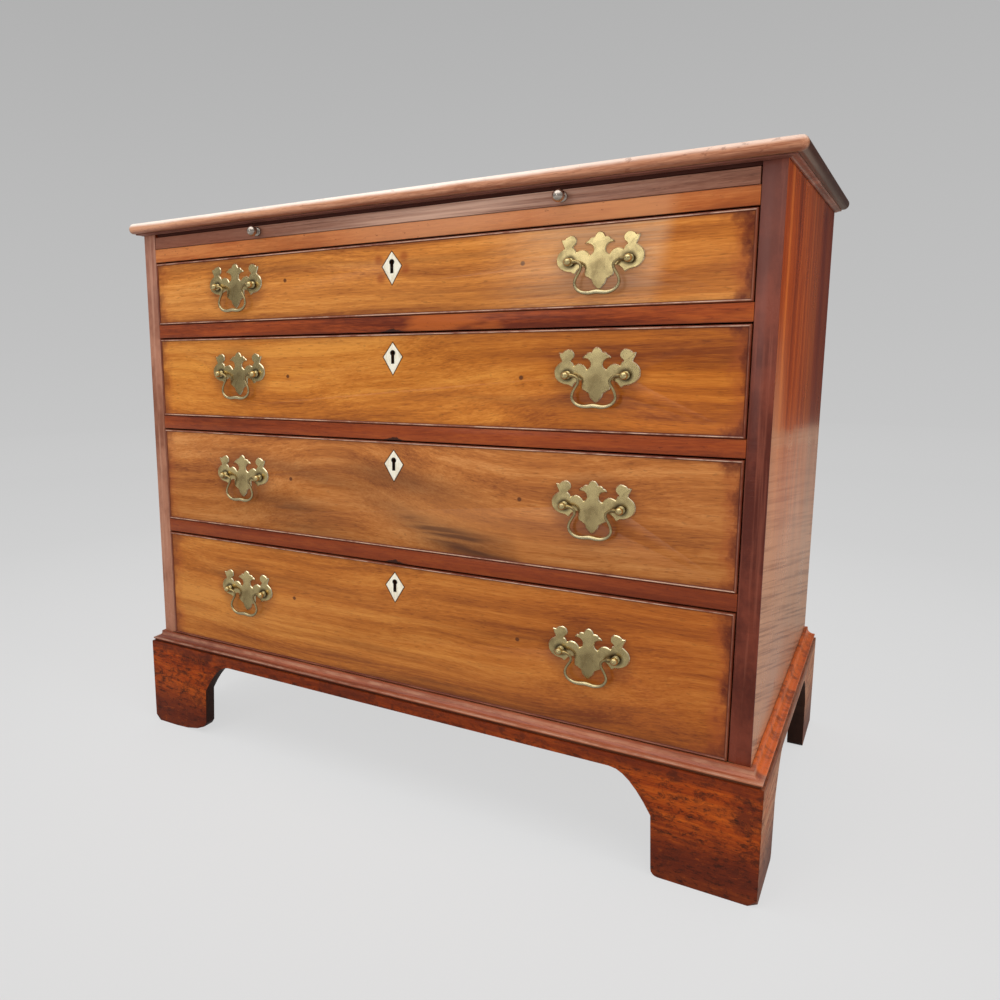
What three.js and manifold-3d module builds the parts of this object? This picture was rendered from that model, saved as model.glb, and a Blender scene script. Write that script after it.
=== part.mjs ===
// A Georgian mahogany bachelor's chest: a small chest of four graduated drawers with a brushing
// slide under the top, on a bracket plinth. Brass bail handles, bone keyhole plates, brass knobs.
// Millimetres, +Z up. Inside a group, y is 0 at the carcase's front face and grows to the back.
import * as THREE from "three";
import { mergeVertices } from "three/addons/utils/BufferGeometryUtils.js";
import Module from "manifold-3d";

const wasm = await Module();
wasm.setup();

// Overall sizes
const carcaseWidth = 860;
const carcaseDepth = 530;
const sideThickness = 22;
const plinthHeight = 136;
const bottomThickness = 16;
const bottomDrawerOpening = 168.5;
const drawerStep = 25.5;
const drawerCount = 4;
const railThickness = 20;
const slideOpening = 18;
const kickerThickness = 6;
const topThickness = 15;

// Clearances
const fitGap = 0.3;
const runGap = 0.3;
const drawerSideGap = 1;
const drawerTopGap = 1.5;
const slideSideGap = 1.2;
const slideTopGap = 1.3;
const cutOverrun = 2;

// Joints inside the carcase
const housingDepth = 6;
const stileCover = 12;
const railDepth = 65;
const dustboardThickness = 9;
const backThickness = 12;
const backRebate = 10;
const backGrooveWidth = 5;
const backGrooveDepth = 2.5;
const backGrooveCount = 2;
const kickerWidth = 34;
const kickerSetback = 6;
const stopWidth = 38;
const stopDepth = 15;
const stopHeight = 5;
const stopInset = 120;

// Mouldings round the top and the base, measured out from the carcase's faces
const topOverhang = 17.5;
const nosingReach = 6;
const topCornerRound = 2;
const topMouldingHeight = 2.8;
const topFilletOut = 8.5;
const topFilletHeight = 1.5;
const topHollowOut = 2.5;
const plinthProjection = 16;
const baseFilletOut = 4.2;
const baseFilletHeight = 2.2;
const baseHollowOut = 12.2;
const baseLipOut = 14.2;
const baseLipHeight = 2.3;
const baseQuirkOut = 12.6;
const baseQuirkHeight = 3.2;

// Bracket plinth; one toe is worn to a long slope
const plinthThickness = 20;
const footWidth = 112;
const footStraight = 73;
const footTaper = 2.5;
const toeRound = 8;
const wornToeWidth = 66;
const wornToeRise = 19;
const cornerWear = 9;
const cornerCutReach = 30;
const archLean = 26;
const archReach = 47;
const apronDepth = 15.5;
const backBracketWidth = 92;
const backBracketThickness = 18;
const backArchReach = 30;
const cornerBlock = 42;

// Brushing slide
const slideBackGap = 48;
const knobInset = 196;
const knobRadius = 7;
const knobReach = 20;
const knobNeckRadius = 2.9;
const knobRoseRadius = 6;
const knobRoseThickness = 2;
const knobShankRadius = 1.8;
const knobShankLength = 14;

// Drawers
const frontThickness = 20;
const beadWidth = 3;
const beadProud = 1.6;
const liningThickness = 10;
const liningDrop = 4;
const backDrop = 6;
const drawerBackGap = 18;
const panelThickness = 7;
const panelRise = 8;
const grooveDepth = 4;
const lapThickness = 5;
const tailPitch = 36;
const tailWidthShare = 0.62;
const tailSlopeShare = 0.15;

// Locks and keyholes
const lockOffset = -2;
const lockWidth = 58;
const lockHeight = 40;
const lockDepth = 9;
const selvedgeThickness = 2.5;
const selvedgeDepth = 13;
const keyDrop = 24.5;
const keyRadius = 2.8;
const keyLength = 16;
const keySlotWidth = 3;
const keyPinRadius = 1.1;
const keyPinReach = 5;
const diamondWidth = 26.5;
const diamondHeight = 39.5;
const diamondThickness = 2.2;
const diamondInset = 1.9;
const diamondKeyRise = 7.2;
const diamondWaistRise = 2.2;
const boltWidth = 20;
const boltDepth = 7;
const boltRise = 8;
const boltSetback = 10;

// Handles
const handleInset = 152.4;
const handleRiseShare = 0.055;
const postSpacing = 64;
const plateWidth = 94.5;
const plateHeight = 62;
const plateThickness = 1.6;
const pivotStandoff = 9.5;
const headRadius = 4.4;
const neckRadius = 2.9;
const collarRadius = 4;
const collarThickness = 1.2;
const shankRadius = 2.3;
const nutRadius = 5;
const nutThickness = 2.6;
const shankTail = 2;
const bailDrop = 34.3;
const bailRadius = 1.9;
const gripRadius = 2.8;
const pinRadius = 1.3;
const pinBore = 1.9;
const pinEntry = 3.6;

// How finely round forms are cut
const arcSteps = 6;
const coveSteps = 4;
const nosingSteps = 8;
const latheSides = 8;
const knobSides = 14;
const boreSides = 10;
const bailSteps = 24;
const bailSides = 6;

// Half of the handle plate's outline, from its crest round to its lower tip: across as a share of
// half the width, and up from the post line as a share of half the height.
const plateShares = [
  [0.04, 1.0], [0.125, 0.81], [0.22, 0.79], [0.255, 0.715], [0.335, 0.6], [0.21, 0.56],
  [0.16, 0.49], [0.15, 0.315], [0.225, 0.205], [0.29, 0.335], [0.35, 0.39], [0.42, 0.405],
  [0.53, 0.335], [0.58, 0.47], [0.61, 0.49], [0.525, 0.685], [0.53, 0.785], [0.575, 0.875],
  [0.635, 0.92], [0.705, 0.895], [0.815, 0.73], [0.87, 0.8], [0.915, 0.755], [0.91, 0.675],
  [0.86, 0.615], [0.825, 0.485], [0.95, 0.32], [0.99, 0.19], [1.0, 0.045], [0.98, -0.085],
  [0.92, -0.2], [0.84, -0.29], [0.75, -0.34], [0.65, -0.36], [0.56, -0.44], [0.48, -0.27],
  [0.4, -0.205], [0.345, -0.2], [0.32, -0.505], [0.18, -0.64], [0.13, -0.815], [0.045, -0.955],
];

// Half of the bail's centre line, from the post to the middle of the grip: across as a share of
// half the post spacing, and down as a share of the drop.
const bailShares = [
  [0.8, 0], [0.66, 0.03], [0.545, 0.12], [0.55, 0.24], [0.65, 0.4], [0.725, 0.56],
  [0.725, 0.74], [0.6, 0.92], [0.38, 0.99], [0.17, 1.0], [0, 0.975],
];

// Worked out from the sizes above
const halfWidth = carcaseWidth / 2;
const innerHalf = halfWidth - sideThickness;
const backFace = carcaseDepth - backThickness;
const floorOfDrawers = plinthHeight + bottomThickness;
const openings = [];
for (let n = drawerCount; n >= 1; n--) {
  const below = openings.at(-1);
  const base = below ? below.base + below.height + railThickness : floorOfDrawers;
  openings.push({ number: n, base, height: bottomDrawerOpening - (drawerCount - n) * drawerStep });
}
const topOpening = openings.at(-1);
const slideBase = topOpening.base + topOpening.height + railThickness;
const slideTop = slideBase + slideOpening;
const topUnder = slideTop + kickerThickness;
const frontmost = -knobReach;
const slideDepth = backFace - slideBackGap;
const knobOffset = innerHalf - knobInset;
const drawerHalf = innerHalf - drawerSideGap;
const drawerDepth = backFace - drawerBackGap;
const liningInner = drawerHalf - liningThickness;
const tailLength = frontThickness - lapThickness;
const handleOffset = drawerHalf - handleInset;

// Materials
const paint = (color, roughness, metalness) =>
  new THREE.MeshStandardMaterial({ color, roughness, metalness });
const mahogany = paint(0x8a4524, 0.38, 0);
const fadedMahogany = paint(0xb87434, 0.35, 0);
const oak = paint(0xb08d5c, 0.7, 0);
const pine = paint(0x9c7a4e, 0.8, 0);
const bone = paint(0xe8dcc0, 0.5, 0);
const brass = paint(0x9a8a52, 0.35, 1);
const darkBrass = paint(0x6e675c, 0.4, 1);
const iron = paint(0x5a5248, 0.6, 1);

// Solids: a closed geometry becomes a manifold, is joined or cut, and turns back into a geometry.
function toSolid(geometry) {
  const bare = geometry.clone();
  bare.deleteAttribute("normal");
  bare.deleteAttribute("uv");
  const merged = mergeVertices(bare);
  return new wasm.Manifold(
    new wasm.Mesh({
      numProp: 3,
      vertProperties: new Float32Array(merged.attributes.position.array),
      triVerts: new Uint32Array(merged.index.array),
    }),
  );
}

function toGeometry(solid) {
  const { numProp, vertProperties, triVerts } = solid.getMesh();
  const position = new Float32Array((vertProperties.length / numProp) * 3);
  for (let i = 0; i < position.length / 3; i++) {
    position.set(vertProperties.subarray(i * numProp, i * numProp + 3), i * 3);
  }
  const geometry = new THREE.BufferGeometry();
  geometry.setAttribute("position", new THREE.BufferAttribute(position, 3));
  geometry.setIndex(new THREE.BufferAttribute(new Uint32Array(triVerts), 1));
  geometry.computeVertexNormals();
  return geometry;
}

const join = (...geometries) => toGeometry(geometries.map(toSolid).reduce((a, b) => a.add(b)));

function cut(geometry, ...tools) {
  return toGeometry(tools.map(toSolid).reduce((a, b) => a.subtract(b), toSolid(geometry)));
}

function block([x0, x1], [y0, y1], [z0, z1]) {
  const geometry = new THREE.BoxGeometry(x1 - x0, y1 - y0, z1 - z0);
  return geometry.translate((x0 + x1) / 2, (y0 + y1) / 2, (z0 + z1) / 2);
}

// A rod along x or y, with flats set so that it has a side facing up.
function rod(radius, from, to, axis, sides) {
  const geometry = new THREE.CylinderGeometry(radius, radius, to - from, sides);
  geometry.translate(0, (from + to) / 2, 0);
  return axis === "x" ? geometry.rotateZ(-Math.PI / 2) : geometry;
}

// An outline drawn in x and z, standing with its back at y = back and its face towards -y.
function standing(shape, thickness, back, curveSegments = arcSteps) {
  const geometry = new THREE.ExtrudeGeometry(shape, {
    depth: thickness,
    bevelEnabled: false,
    curveSegments,
  });
  return geometry.rotateX(Math.PI / 2).translate(0, back, 0);
}

// An outline drawn in y and z, running along x from start by thickness.
function sideways(shape, thickness, start, curveSegments = arcSteps) {
  const geometry = new THREE.ExtrudeGeometry(shape, {
    depth: thickness,
    bevelEnabled: false,
    curveSegments,
  });
  const turn = new THREE.Matrix4().makeBasis(
    new THREE.Vector3(0, 1, 0),
    new THREE.Vector3(0, 0, 1),
    new THREE.Vector3(1, 0, 0),
  );
  return geometry.applyMatrix4(turn).translate(start, 0, 0);
}

// A closed body through rings of points, each ring counter-clockwise seen from the last ring's end.
function loft(rings, capFaces) {
  const sides = rings[0].length;
  const positions = rings.flat().flatMap((p) => [p.x, p.y, p.z]);
  const indices = [];
  for (let i = 0; i + 1 < rings.length; i++) {
    for (let j = 0; j < sides; j++) {
      const next = (j + 1) % sides;
      const [a, b] = [i * sides + j, i * sides + next];
      indices.push(a, b, b + sides, a, b + sides, a + sides);
    }
  }
  const last = (rings.length - 1) * sides;
  for (const [a, b, c] of capFaces) {
    indices.push(a, c, b);
    indices.push(last + a, last + b, last + c);
  }
  const geometry = new THREE.BufferGeometry();
  geometry.setAttribute("position", new THREE.Float32BufferAttribute(positions, 3));
  geometry.setIndex(indices);
  geometry.computeVertexNormals();
  return geometry;
}

// The triangles that close a loft's end where its ring is convex.
function fan(sides) {
  const faces = [];
  for (let i = 1; i + 1 < sides; i++) {
    faces.push([0, i, i + 1]);
  }
  return faces;
}

function arc(centre, radii, fromAngle, toAngle, steps) {
  const points = [];
  for (let i = 0; i <= steps; i++) {
    const angle = fromAngle + ((toAngle - fromAngle) * i) / steps;
    points.push([centre[0] + radii[0] * Math.cos(angle), centre[1] + radii[1] * Math.sin(angle)]);
  }
  return points;
}

function polygon(points) {
  return new THREE.Shape(points.map(([x, y]) => new THREE.Vector2(x, y)));
}

// A moulding mitred round the front and both ends of the carcase. Its profile is closed, in
// distance out from the carcase's faces and height, and runs counter-clockwise.
function mitredMoulding(profile, base) {
  const section = profile.toReversed();
  const corners = [
    [(out) => -halfWidth - out, () => carcaseDepth],
    [(out) => -halfWidth - out, (out) => -out],
    [(out) => halfWidth + out, (out) => -out],
    [(out) => halfWidth + out, () => carcaseDepth],
  ];
  const rings = corners.map(([x, y]) =>
    section.map(([out, up]) => new THREE.Vector3(x(out), y(out), base + up)),
  );
  const contour = section.map(([out, up]) => new THREE.Vector2(-out, up));
  return loft(rings, THREE.ShapeUtils.triangulateShape(contour, []));
}

const chest = new THREE.Group();

function place(group, name, geometry, material, x = 0, y = 0, z = 0) {
  const mesh = new THREE.Mesh(geometry, material);
  mesh.name = name;
  mesh.position.set(x, y, z);
  group.add(mesh);
}

// Carcase
const carcase = new THREE.Group();
chest.add(carcase);

// A side of the carcase, grooved for the bottom, rails and dustboards and rebated for the back.
function carcaseSide(side) {
  const across = (near, far) => [side * near, side * far].sort((a, b) => a - b);
  const housing = across(innerHalf - cutOverrun, innerHalf + housingDepth);
  const tops = openings.slice(1).map((opening) => opening.base).concat(slideBase);
  const board = block(across(innerHalf, halfWidth), [0, carcaseDepth], [plinthHeight + fitGap, topUnder]);
  const grooves = tops.flatMap((top) => [
    block(housing, [stileCover, railDepth], [top - railThickness, top]),
    block(housing, [railDepth, backFace], [top - dustboardThickness, top]),
  ]);
  const bottomGroove = block(
    housing,
    [-cutOverrun, backFace],
    [plinthHeight - cutOverrun, floorOfDrawers],
  );
  const rebate = block(
    across(innerHalf - cutOverrun, innerHalf + backRebate),
    [backFace, carcaseDepth + cutOverrun],
    [plinthHeight - cutOverrun, topUnder + cutOverrun],
  );
  return cut(board, bottomGroove, rebate, ...grooves);
}

// The stops that a drawer's front closes against, on the board that the drawer runs on.
function drawerStops(top) {
  return [-1, 1].map((side) =>
    block(
      [side * stopInset - stopWidth / 2, side * stopInset + stopWidth / 2],
      [frontThickness + fitGap, frontThickness + fitGap + stopDepth],
      [top - cutOverrun, top + stopHeight],
    ),
  );
}

// A rail between two drawers, with a tongue at each end, and below it a mortise for a lock bolt.
function rail(top, hasStops) {
  const level = [top - railThickness + fitGap, top - fitGap];
  const shoulder = innerHalf - fitGap;
  const tongue = innerHalf + housingDepth - fitGap;
  const board = join(
    block([-shoulder, shoulder], [0, railDepth - fitGap], level),
    block([-tongue, tongue], [stileCover + fitGap, railDepth - fitGap], level),
    ...(hasStops ? drawerStops(level[1]) : []),
  );
  return cut(
    board,
    block(
      [lockOffset - boltWidth / 2, lockOffset + boltWidth / 2],
      [boltSetback, boltSetback + boltDepth],
      [top - railThickness - cutOverrun, top - railThickness + boltRise],
    ),
  );
}

function dustboard(top) {
  const reach = innerHalf + housingDepth - fitGap;
  return block(
    [-reach, reach],
    [railDepth + fitGap, backFace - fitGap],
    [top - dustboardThickness + fitGap, top - fitGap],
  );
}

function bottomBoard() {
  const reach = innerHalf + housingDepth - fitGap;
  const top = floorOfDrawers - fitGap;
  const board = block([-reach, reach], [0, backFace - fitGap], [plinthHeight + fitGap, top]);
  return join(board, ...drawerStops(top));
}

// The frame over the slide: a front rail and two side strips that keep the slide from tipping. It is
// set back, so that a dark line shows over the slide.
function kickerFrame() {
  const outer = innerHalf - fitGap;
  const inner = outer - kickerWidth;
  const frame = block(
    [-outer, outer],
    [kickerSetback, backFace - fitGap],
    [slideTop + fitGap, topUnder - fitGap],
  );
  const gap = block(
    [-inner, inner],
    [railDepth, carcaseDepth],
    [slideTop - cutOverrun, topUnder + cutOverrun],
  );
  return cut(frame, gap);
}

// The back: upright boards, seen as one panel with a V groove at each seam.
function backBoard() {
  const reach = innerHalf + backRebate - fitGap;
  const seam = polygon([
    [-backGrooveWidth / 2, carcaseDepth + fitGap],
    [0, carcaseDepth - backGrooveDepth],
    [backGrooveWidth / 2, carcaseDepth + fitGap],
  ]);
  const height = topUnder - plinthHeight - fitGap * 2;
  const grooves = [];
  for (let i = 1; i <= backGrooveCount; i++) {
    const x = -reach + (2 * reach * i) / (backGrooveCount + 1);
    const groove = new THREE.ExtrudeGeometry(seam, { depth: height + cutOverrun * 2, bevelEnabled: false });
    grooves.push(groove.translate(x, 0, plinthHeight - cutOverrun));
  }
  const panel = block(
    [-reach, reach],
    [backFace + fitGap, carcaseDepth],
    [plinthHeight + fitGap, topUnder - fitGap],
  );
  return cut(panel, ...grooves);
}

// The top: a board with a half-round nosing on its front and ends, and rounded front corners.
function topBoard() {
  const half = (topThickness - fitGap) / 2;
  const nosing = arc(
    [topOverhang - nosingReach, topUnder + fitGap + half],
    [nosingReach, half],
    -Math.PI / 2,
    Math.PI / 2,
    nosingSteps,
  );
  const rings = nosing.map(([out, z]) => {
    const round = topCornerRound + nosingReach + out - topOverhang;
    const centre = halfWidth + out - round;
    const left = arc([-centre, round - out], [round, round], Math.PI, (Math.PI * 3) / 2, coveSteps);
    const right = left.toReversed().map(([x, y]) => [-x, y]);
    const back = [[halfWidth + out, carcaseDepth], [-halfWidth - out, carcaseDepth]];
    return [...left, ...right, ...back].map(([x, y]) => new THREE.Vector3(x, y, z));
  });
  return loft(rings, fan(rings[0].length));
}

// The thin moulding applied under the top's overhang: a narrow fillet over a hollow.
function topMoulding() {
  const rise = topMouldingHeight - topFilletHeight;
  const hollow = arc([topFilletOut, 0], [topHollowOut - topFilletOut, rise], 0, Math.PI / 2, coveSteps);
  const profile = [
    [fitGap, 0],
    ...hollow,
    [topFilletOut, topMouldingHeight],
    [fitGap, topMouldingHeight],
  ];
  return mitredMoulding(profile, topUnder - topMouldingHeight);
}

// The moulding round the carcase's foot: a fillet, a hollow and an upright lip, held off the
// plinth by a sunk line.
function baseMoulding() {
  const height = bottomThickness - fitGap * 2;
  const lipTop = baseQuirkHeight + baseLipHeight;
  const hollowTop = height - baseFilletHeight;
  const hollow = arc(
    [baseHollowOut, hollowTop],
    [baseFilletOut - baseHollowOut, lipTop - hollowTop],
    Math.PI / 2,
    0,
    arcSteps,
  );
  const profile = [
    [fitGap, 0],
    [baseQuirkOut, 0],
    [baseQuirkOut, baseQuirkHeight],
    [baseLipOut, baseQuirkHeight],
    [baseLipOut, lipTop],
    ...hollow,
    [baseFilletOut, height],
    [fitGap, height],
  ];
  return mitredMoulding(profile, plinthHeight + fitGap);
}

// The lower edge of a plinth board, from the floor at the foot's toe up to the apron: a rounded
// toe, an edge that leans a little, and an arch that meets it at a slight angle.
function footEdge(shape, inner, direction, [toeWidth, toeRise]) {
  const apron = plinthHeight - apronDepth;
  const tip = inner - direction * footTaper;
  const toe = arc(
    [tip - direction * toeWidth, toeRise],
    [direction * toeWidth, -toeRise],
    Math.PI / 2,
    0,
    coveSteps,
  );
  const arch = new THREE.QuadraticBezierCurve(
    new THREE.Vector2(inner, footStraight),
    new THREE.Vector2(inner + direction * archLean, apron),
    new THREE.Vector2(inner + direction * archReach, apron),
  );
  const points = [...toe, ...arch.getPoints(arcSteps).map((p) => [p.x, p.y])];
  const ordered = direction > 0 ? points : points.reverse();
  ordered.forEach(([x, z]) => shape.lineTo(x, z));
}

const roundToe = [toeRound, toeRound];
const wornToe = [wornToeWidth, wornToeRise];

// A plinth board's outline, from one end to the other, with a bracket foot at each.
function plinthOutline(from, to, firstToe) {
  const shape = new THREE.Shape();
  shape.moveTo(from, 0);
  footEdge(shape, from + footWidth, 1, firstToe);
  footEdge(shape, to - footWidth, -1, roundToe);
  shape.lineTo(to, 0);
  shape.lineTo(to, plinthHeight);
  shape.lineTo(from, plinthHeight);
  return shape;
}

// Moves the points that a test picks by a distance along one axis: the slope of a mitre.
function shear(geometry, test, axis, distance) {
  const positions = geometry.attributes.position;
  for (let i = 0; i < positions.count; i++) {
    const point = new THREE.Vector3().fromBufferAttribute(positions, i);
    if (test(point)) {
      positions.setComponent(i, axis, point.getComponent(axis) + distance);
    }
  }
  return geometry;
}

const plinthOuter = halfWidth + plinthProjection;
const plinthInner = plinthOuter - plinthThickness;
const plinthFrontBack = plinthThickness - plinthProjection;

// Takes the worn lower corner off a plinth board, by a slope that meets its three edges evenly.
function wearCorner(board, side) {
  const corner = new THREE.Vector3(side * plinthOuter, -plinthProjection, 0);
  const inward = new THREE.Vector3(-side, 1, 1).normalize();
  const spread = [-cornerCutReach, cornerCutReach];
  const slope = block(spread, spread, [-cornerCutReach, 0]);
  const up = new THREE.Vector3(0, 0, 1);
  slope.applyQuaternion(new THREE.Quaternion().setFromUnitVectors(up, inward));
  const middle = corner.addScaledVector(inward, cornerWear * inward.z);
  return cut(board, slope.translate(middle.x, middle.y, middle.z));
}

function plinthFront() {
  const outline = plinthOutline(-plinthOuter, plinthOuter, wornToe);
  const board = standing(outline, plinthThickness, plinthFrontBack);
  const middle = plinthFrontBack - plinthThickness / 2;
  shear(board, (p) => p.y > middle && p.x > plinthInner, 0, -plinthThickness);
  shear(board, (p) => p.y > middle && p.x < -plinthInner, 0, plinthThickness);
  return wearCorner(wearCorner(board, -1), 1);
}

// A plinth side, mitred to the front, with the glue blocks that fill its two corners.
function plinthSide(side) {
  const start = -plinthProjection + fitGap;
  const outline = plinthOutline(start, carcaseDepth, roundToe);
  const outer = side * plinthOuter;
  const board = sideways(outline, plinthThickness, Math.min(outer, outer - side * plinthThickness));
  const middle = plinthOuter - plinthThickness / 2;
  shear(board, (p) => Math.abs(p.x) < middle && p.y < start + fitGap, 1, plinthThickness);
  const across = [side * (plinthInner + fitGap), side * (plinthInner - cornerBlock)];
  across.sort((a, b) => a - b);
  const blockAt = (near) => block(across, [near, near + cornerBlock], [0, plinthHeight - fitGap]);
  const backBlock = carcaseDepth - backBracketThickness - fitGap - cornerBlock;
  return join(wearCorner(board, side), blockAt(plinthFrontBack + fitGap), blockAt(backBlock));
}

// A back foot's bracket: it butts against the plinth side, and its arch ends at the foot's width.
function backBracket(side) {
  const outer = plinthInner - fitGap;
  const apron = plinthHeight - apronDepth;
  const archFoot = footStraight;
  const innerFoot = outer - backBracketWidth + backArchReach;
  const arch = arc(
    [innerFoot - backArchReach, archFoot],
    [backArchReach, apron - archFoot],
    0,
    Math.PI / 2,
    arcSteps,
  );
  const end = innerFoot - backArchReach;
  const points = [[outer, plinthHeight], [end, plinthHeight], ...arch.reverse()];
  points.push([innerFoot, 0], [outer, 0]);
  const shape = polygon(points.map(([x, z]) => [side * x, z]));
  return standing(shape, backBracketThickness, carcaseDepth);
}

place(carcase, "side_left", carcaseSide(-1), mahogany);
place(carcase, "side_right", carcaseSide(1), mahogany);
place(carcase, "bottom_board", bottomBoard(), pine);
place(carcase, "back_board", backBoard(), pine);
place(carcase, "kicker_frame", kickerFrame(), pine);
place(carcase, "top_board", topBoard(), mahogany);
place(carcase, "top_moulding", topMoulding(), mahogany);
place(carcase, "base_moulding", baseMoulding(), mahogany);
place(carcase, "plinth_front", plinthFront(), mahogany);
place(carcase, "plinth_left", plinthSide(-1), mahogany);
place(carcase, "plinth_right", plinthSide(1), mahogany);
place(carcase, "back_bracket_left", backBracket(-1), pine);
place(carcase, "back_bracket_right", backBracket(1), pine);
place(carcase, "slide_rail", rail(slideBase, false), mahogany);
place(carcase, "slide_dustboard", dustboard(slideBase), pine);
for (const { number, base } of openings.slice(1)) {
  place(carcase, `rail_${number}`, rail(base, true), mahogany);
  place(carcase, `dustboard_${number}`, dustboard(base), pine);
}

// Brushing slide
const slide = new THREE.Group();
slide.position.z = slideBase;
chest.add(slide);
const knobHeight = slideOpening / 2;

function slideBoard() {
  const reach = innerHalf - slideSideGap;
  const board = block([-reach, reach], [0, slideDepth], [runGap, slideOpening - slideTopGap]);
  const holes = [-1, 1].map((side) => {
    const hole = rod(knobShankRadius + fitGap, -cutOverrun, knobShankLength + fitGap, "y", boreSides);
    return hole.translate(side * knobOffset, 0, knobHeight);
  });
  return cut(board, ...holes);
}

// A ball knob: rose, neck and ball, with a shank that screws into the slide's edge.
function slideKnob() {
  const ballCentre = knobReach - knobRadius;
  const neckAngle = Math.asin(knobNeckRadius / knobRadius);
  const ball = arc([0, -ballCentre], [knobRadius, knobRadius], Math.PI / 2 - neckAngle, -Math.PI / 2, arcSteps);
  const profile = [
    [0, knobShankLength],
    [knobShankRadius, knobShankLength],
    [knobShankRadius, -fitGap],
    [knobRoseRadius, -fitGap],
    [knobRoseRadius, -fitGap - knobRoseThickness],
    [knobNeckRadius, -fitGap - knobRoseThickness],
    ...ball.slice(0, -1),
    [0, -knobReach],
  ];
  const points = profile.map(([r, y]) => new THREE.Vector2(r, y)).reverse();
  return new THREE.LatheGeometry(points, knobSides);
}

place(slide, "slide_board", slideBoard(), mahogany);
place(slide, "slide_knob_left", slideKnob(), darkBrass, -knobOffset, 0, knobHeight);
place(slide, "slide_knob_right", slideKnob(), darkBrass, knobOffset, 0, knobHeight);

// Drawers
// The keyhole: a round over a slot, drawn about the centre of the round.
function keyholeShape(Kind, slack) {
  const radius = keyRadius + slack;
  const half = keySlotWidth / 2 + slack;
  const turn = Math.asin(half / radius);
  const shape = new Kind();
  arc([0, 0], [radius, radius], -Math.PI / 2 + turn, (Math.PI * 3) / 2 - turn, arcSteps + coveSteps).forEach(
    ([x, z], i) => (i ? shape.lineTo(x, z) : shape.moveTo(x, z)),
  );
  shape.lineTo(-half, keyRadius - keyLength - slack);
  shape.lineTo(half, keyRadius - keyLength - slack);
  shape.closePath();
  return shape;
}

// The diamond round a keyhole, drawn about the keyhole's centre.
function diamondShape(slack) {
  const [w, h] = [diamondWidth / 2 + slack, diamondHeight / 2 + slack];
  const corners = [[0, -h], [w, diamondWaistRise], [0, h], [-w, diamondWaistRise]];
  return polygon(corners.map(([x, z]) => [x, z - diamondKeyRise]));
}

function escutcheon() {
  const shape = diamondShape(0);
  shape.holes.push(keyholeShape(THREE.Path, 0));
  return standing(shape, diamondThickness, diamondInset);
}

// A dovetail from the lining into the front's back, in y and z, wider at its end.
function tailShape(middle, half, slack) {
  const [root, tip] = [frontThickness + fitGap, lapThickness + fitGap - slack];
  const flare = tailLength * tailSlopeShare;
  return polygon([
    [root, middle - half + flare - slack],
    [root, middle + half - flare + slack],
    [tip, middle + half + slack],
    [tip, middle - half - slack],
  ].reverse());
}

function tailShapes(base, height, slack) {
  const count = Math.max(2, Math.round(height / tailPitch));
  const pitch = height / count;
  const shapes = [];
  for (let i = 0; i < count; i++) {
    shapes.push(tailShape(base + pitch * (i + 1 / 2), (pitch * tailWidthShare) / 2, slack));
  }
  return shapes;
}

// The front: a board with a round cock bead on its edges, cut for all that is let into it.
function drawerFront(height, top, keyZ, handleZ) {
  const bead = arc([beadWidth / 2, 0], [-beadWidth / 2, -beadProud], 0, Math.PI, coveSteps);
  const steps = [[0, frontThickness], ...bead];
  const rings = steps.map(([inset, y]) => {
    const x = drawerHalf - inset;
    return [
      new THREE.Vector3(-x, y, runGap + inset),
      new THREE.Vector3(x, y, runGap + inset),
      new THREE.Vector3(x, y, top - inset),
      new THREE.Vector3(-x, y, top - inset),
    ];
  });
  const liningHeight = height - liningDrop;
  const sockets = tailShapes(runGap, liningHeight, fitGap).flatMap((shape) => [
    sideways(shape, liningThickness + fitGap + cutOverrun, liningInner - fitGap),
    sideways(shape, liningThickness + fitGap + cutOverrun, -drawerHalf - cutOverrun),
  ]);
  const panelHalf = liningInner + grooveDepth;
  const groove = block(
    [-panelHalf, panelHalf],
    [frontThickness - grooveDepth, frontThickness + cutOverrun],
    [panelRise - fitGap, panelRise + panelThickness + fitGap],
  );
  const lockReach = lockWidth / 2 + fitGap;
  const lockSpan = [lockOffset - lockReach, lockOffset + lockReach];
  const mortise = block(
    lockSpan,
    [frontThickness - lockDepth - fitGap, frontThickness + cutOverrun],
    [top - lockHeight - fitGap, top + cutOverrun],
  );
  const selvedgeSeat = block(
    lockSpan,
    [frontThickness - selvedgeDepth - fitGap, frontThickness + cutOverrun],
    [top - selvedgeThickness - fitGap, top + cutOverrun],
  );
  const pocket = standing(diamondShape(fitGap), diamondInset + fitGap + cutOverrun, diamondInset + fitGap);
  const keyhole = standing(keyholeShape(THREE.Shape, 0), frontThickness + cutOverrun, frontThickness);
  const postHoles = [-1, 1].flatMap((side) =>
    [-1, 1].map((end) => {
      const hole = rod(shankRadius + fitGap, -cutOverrun, frontThickness + cutOverrun, "y", boreSides);
      return hole.translate(side * handleOffset + (end * postSpacing) / 2, 0, handleZ);
    }),
  );
  return cut(
    loft(rings, fan(rings[0].length)),
    ...sockets,
    groove,
    mortise,
    selvedgeSeat,
    pocket.translate(lockOffset, 0, keyZ),
    keyhole.translate(lockOffset, 0, keyZ),
    ...postHoles,
  );
}

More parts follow.
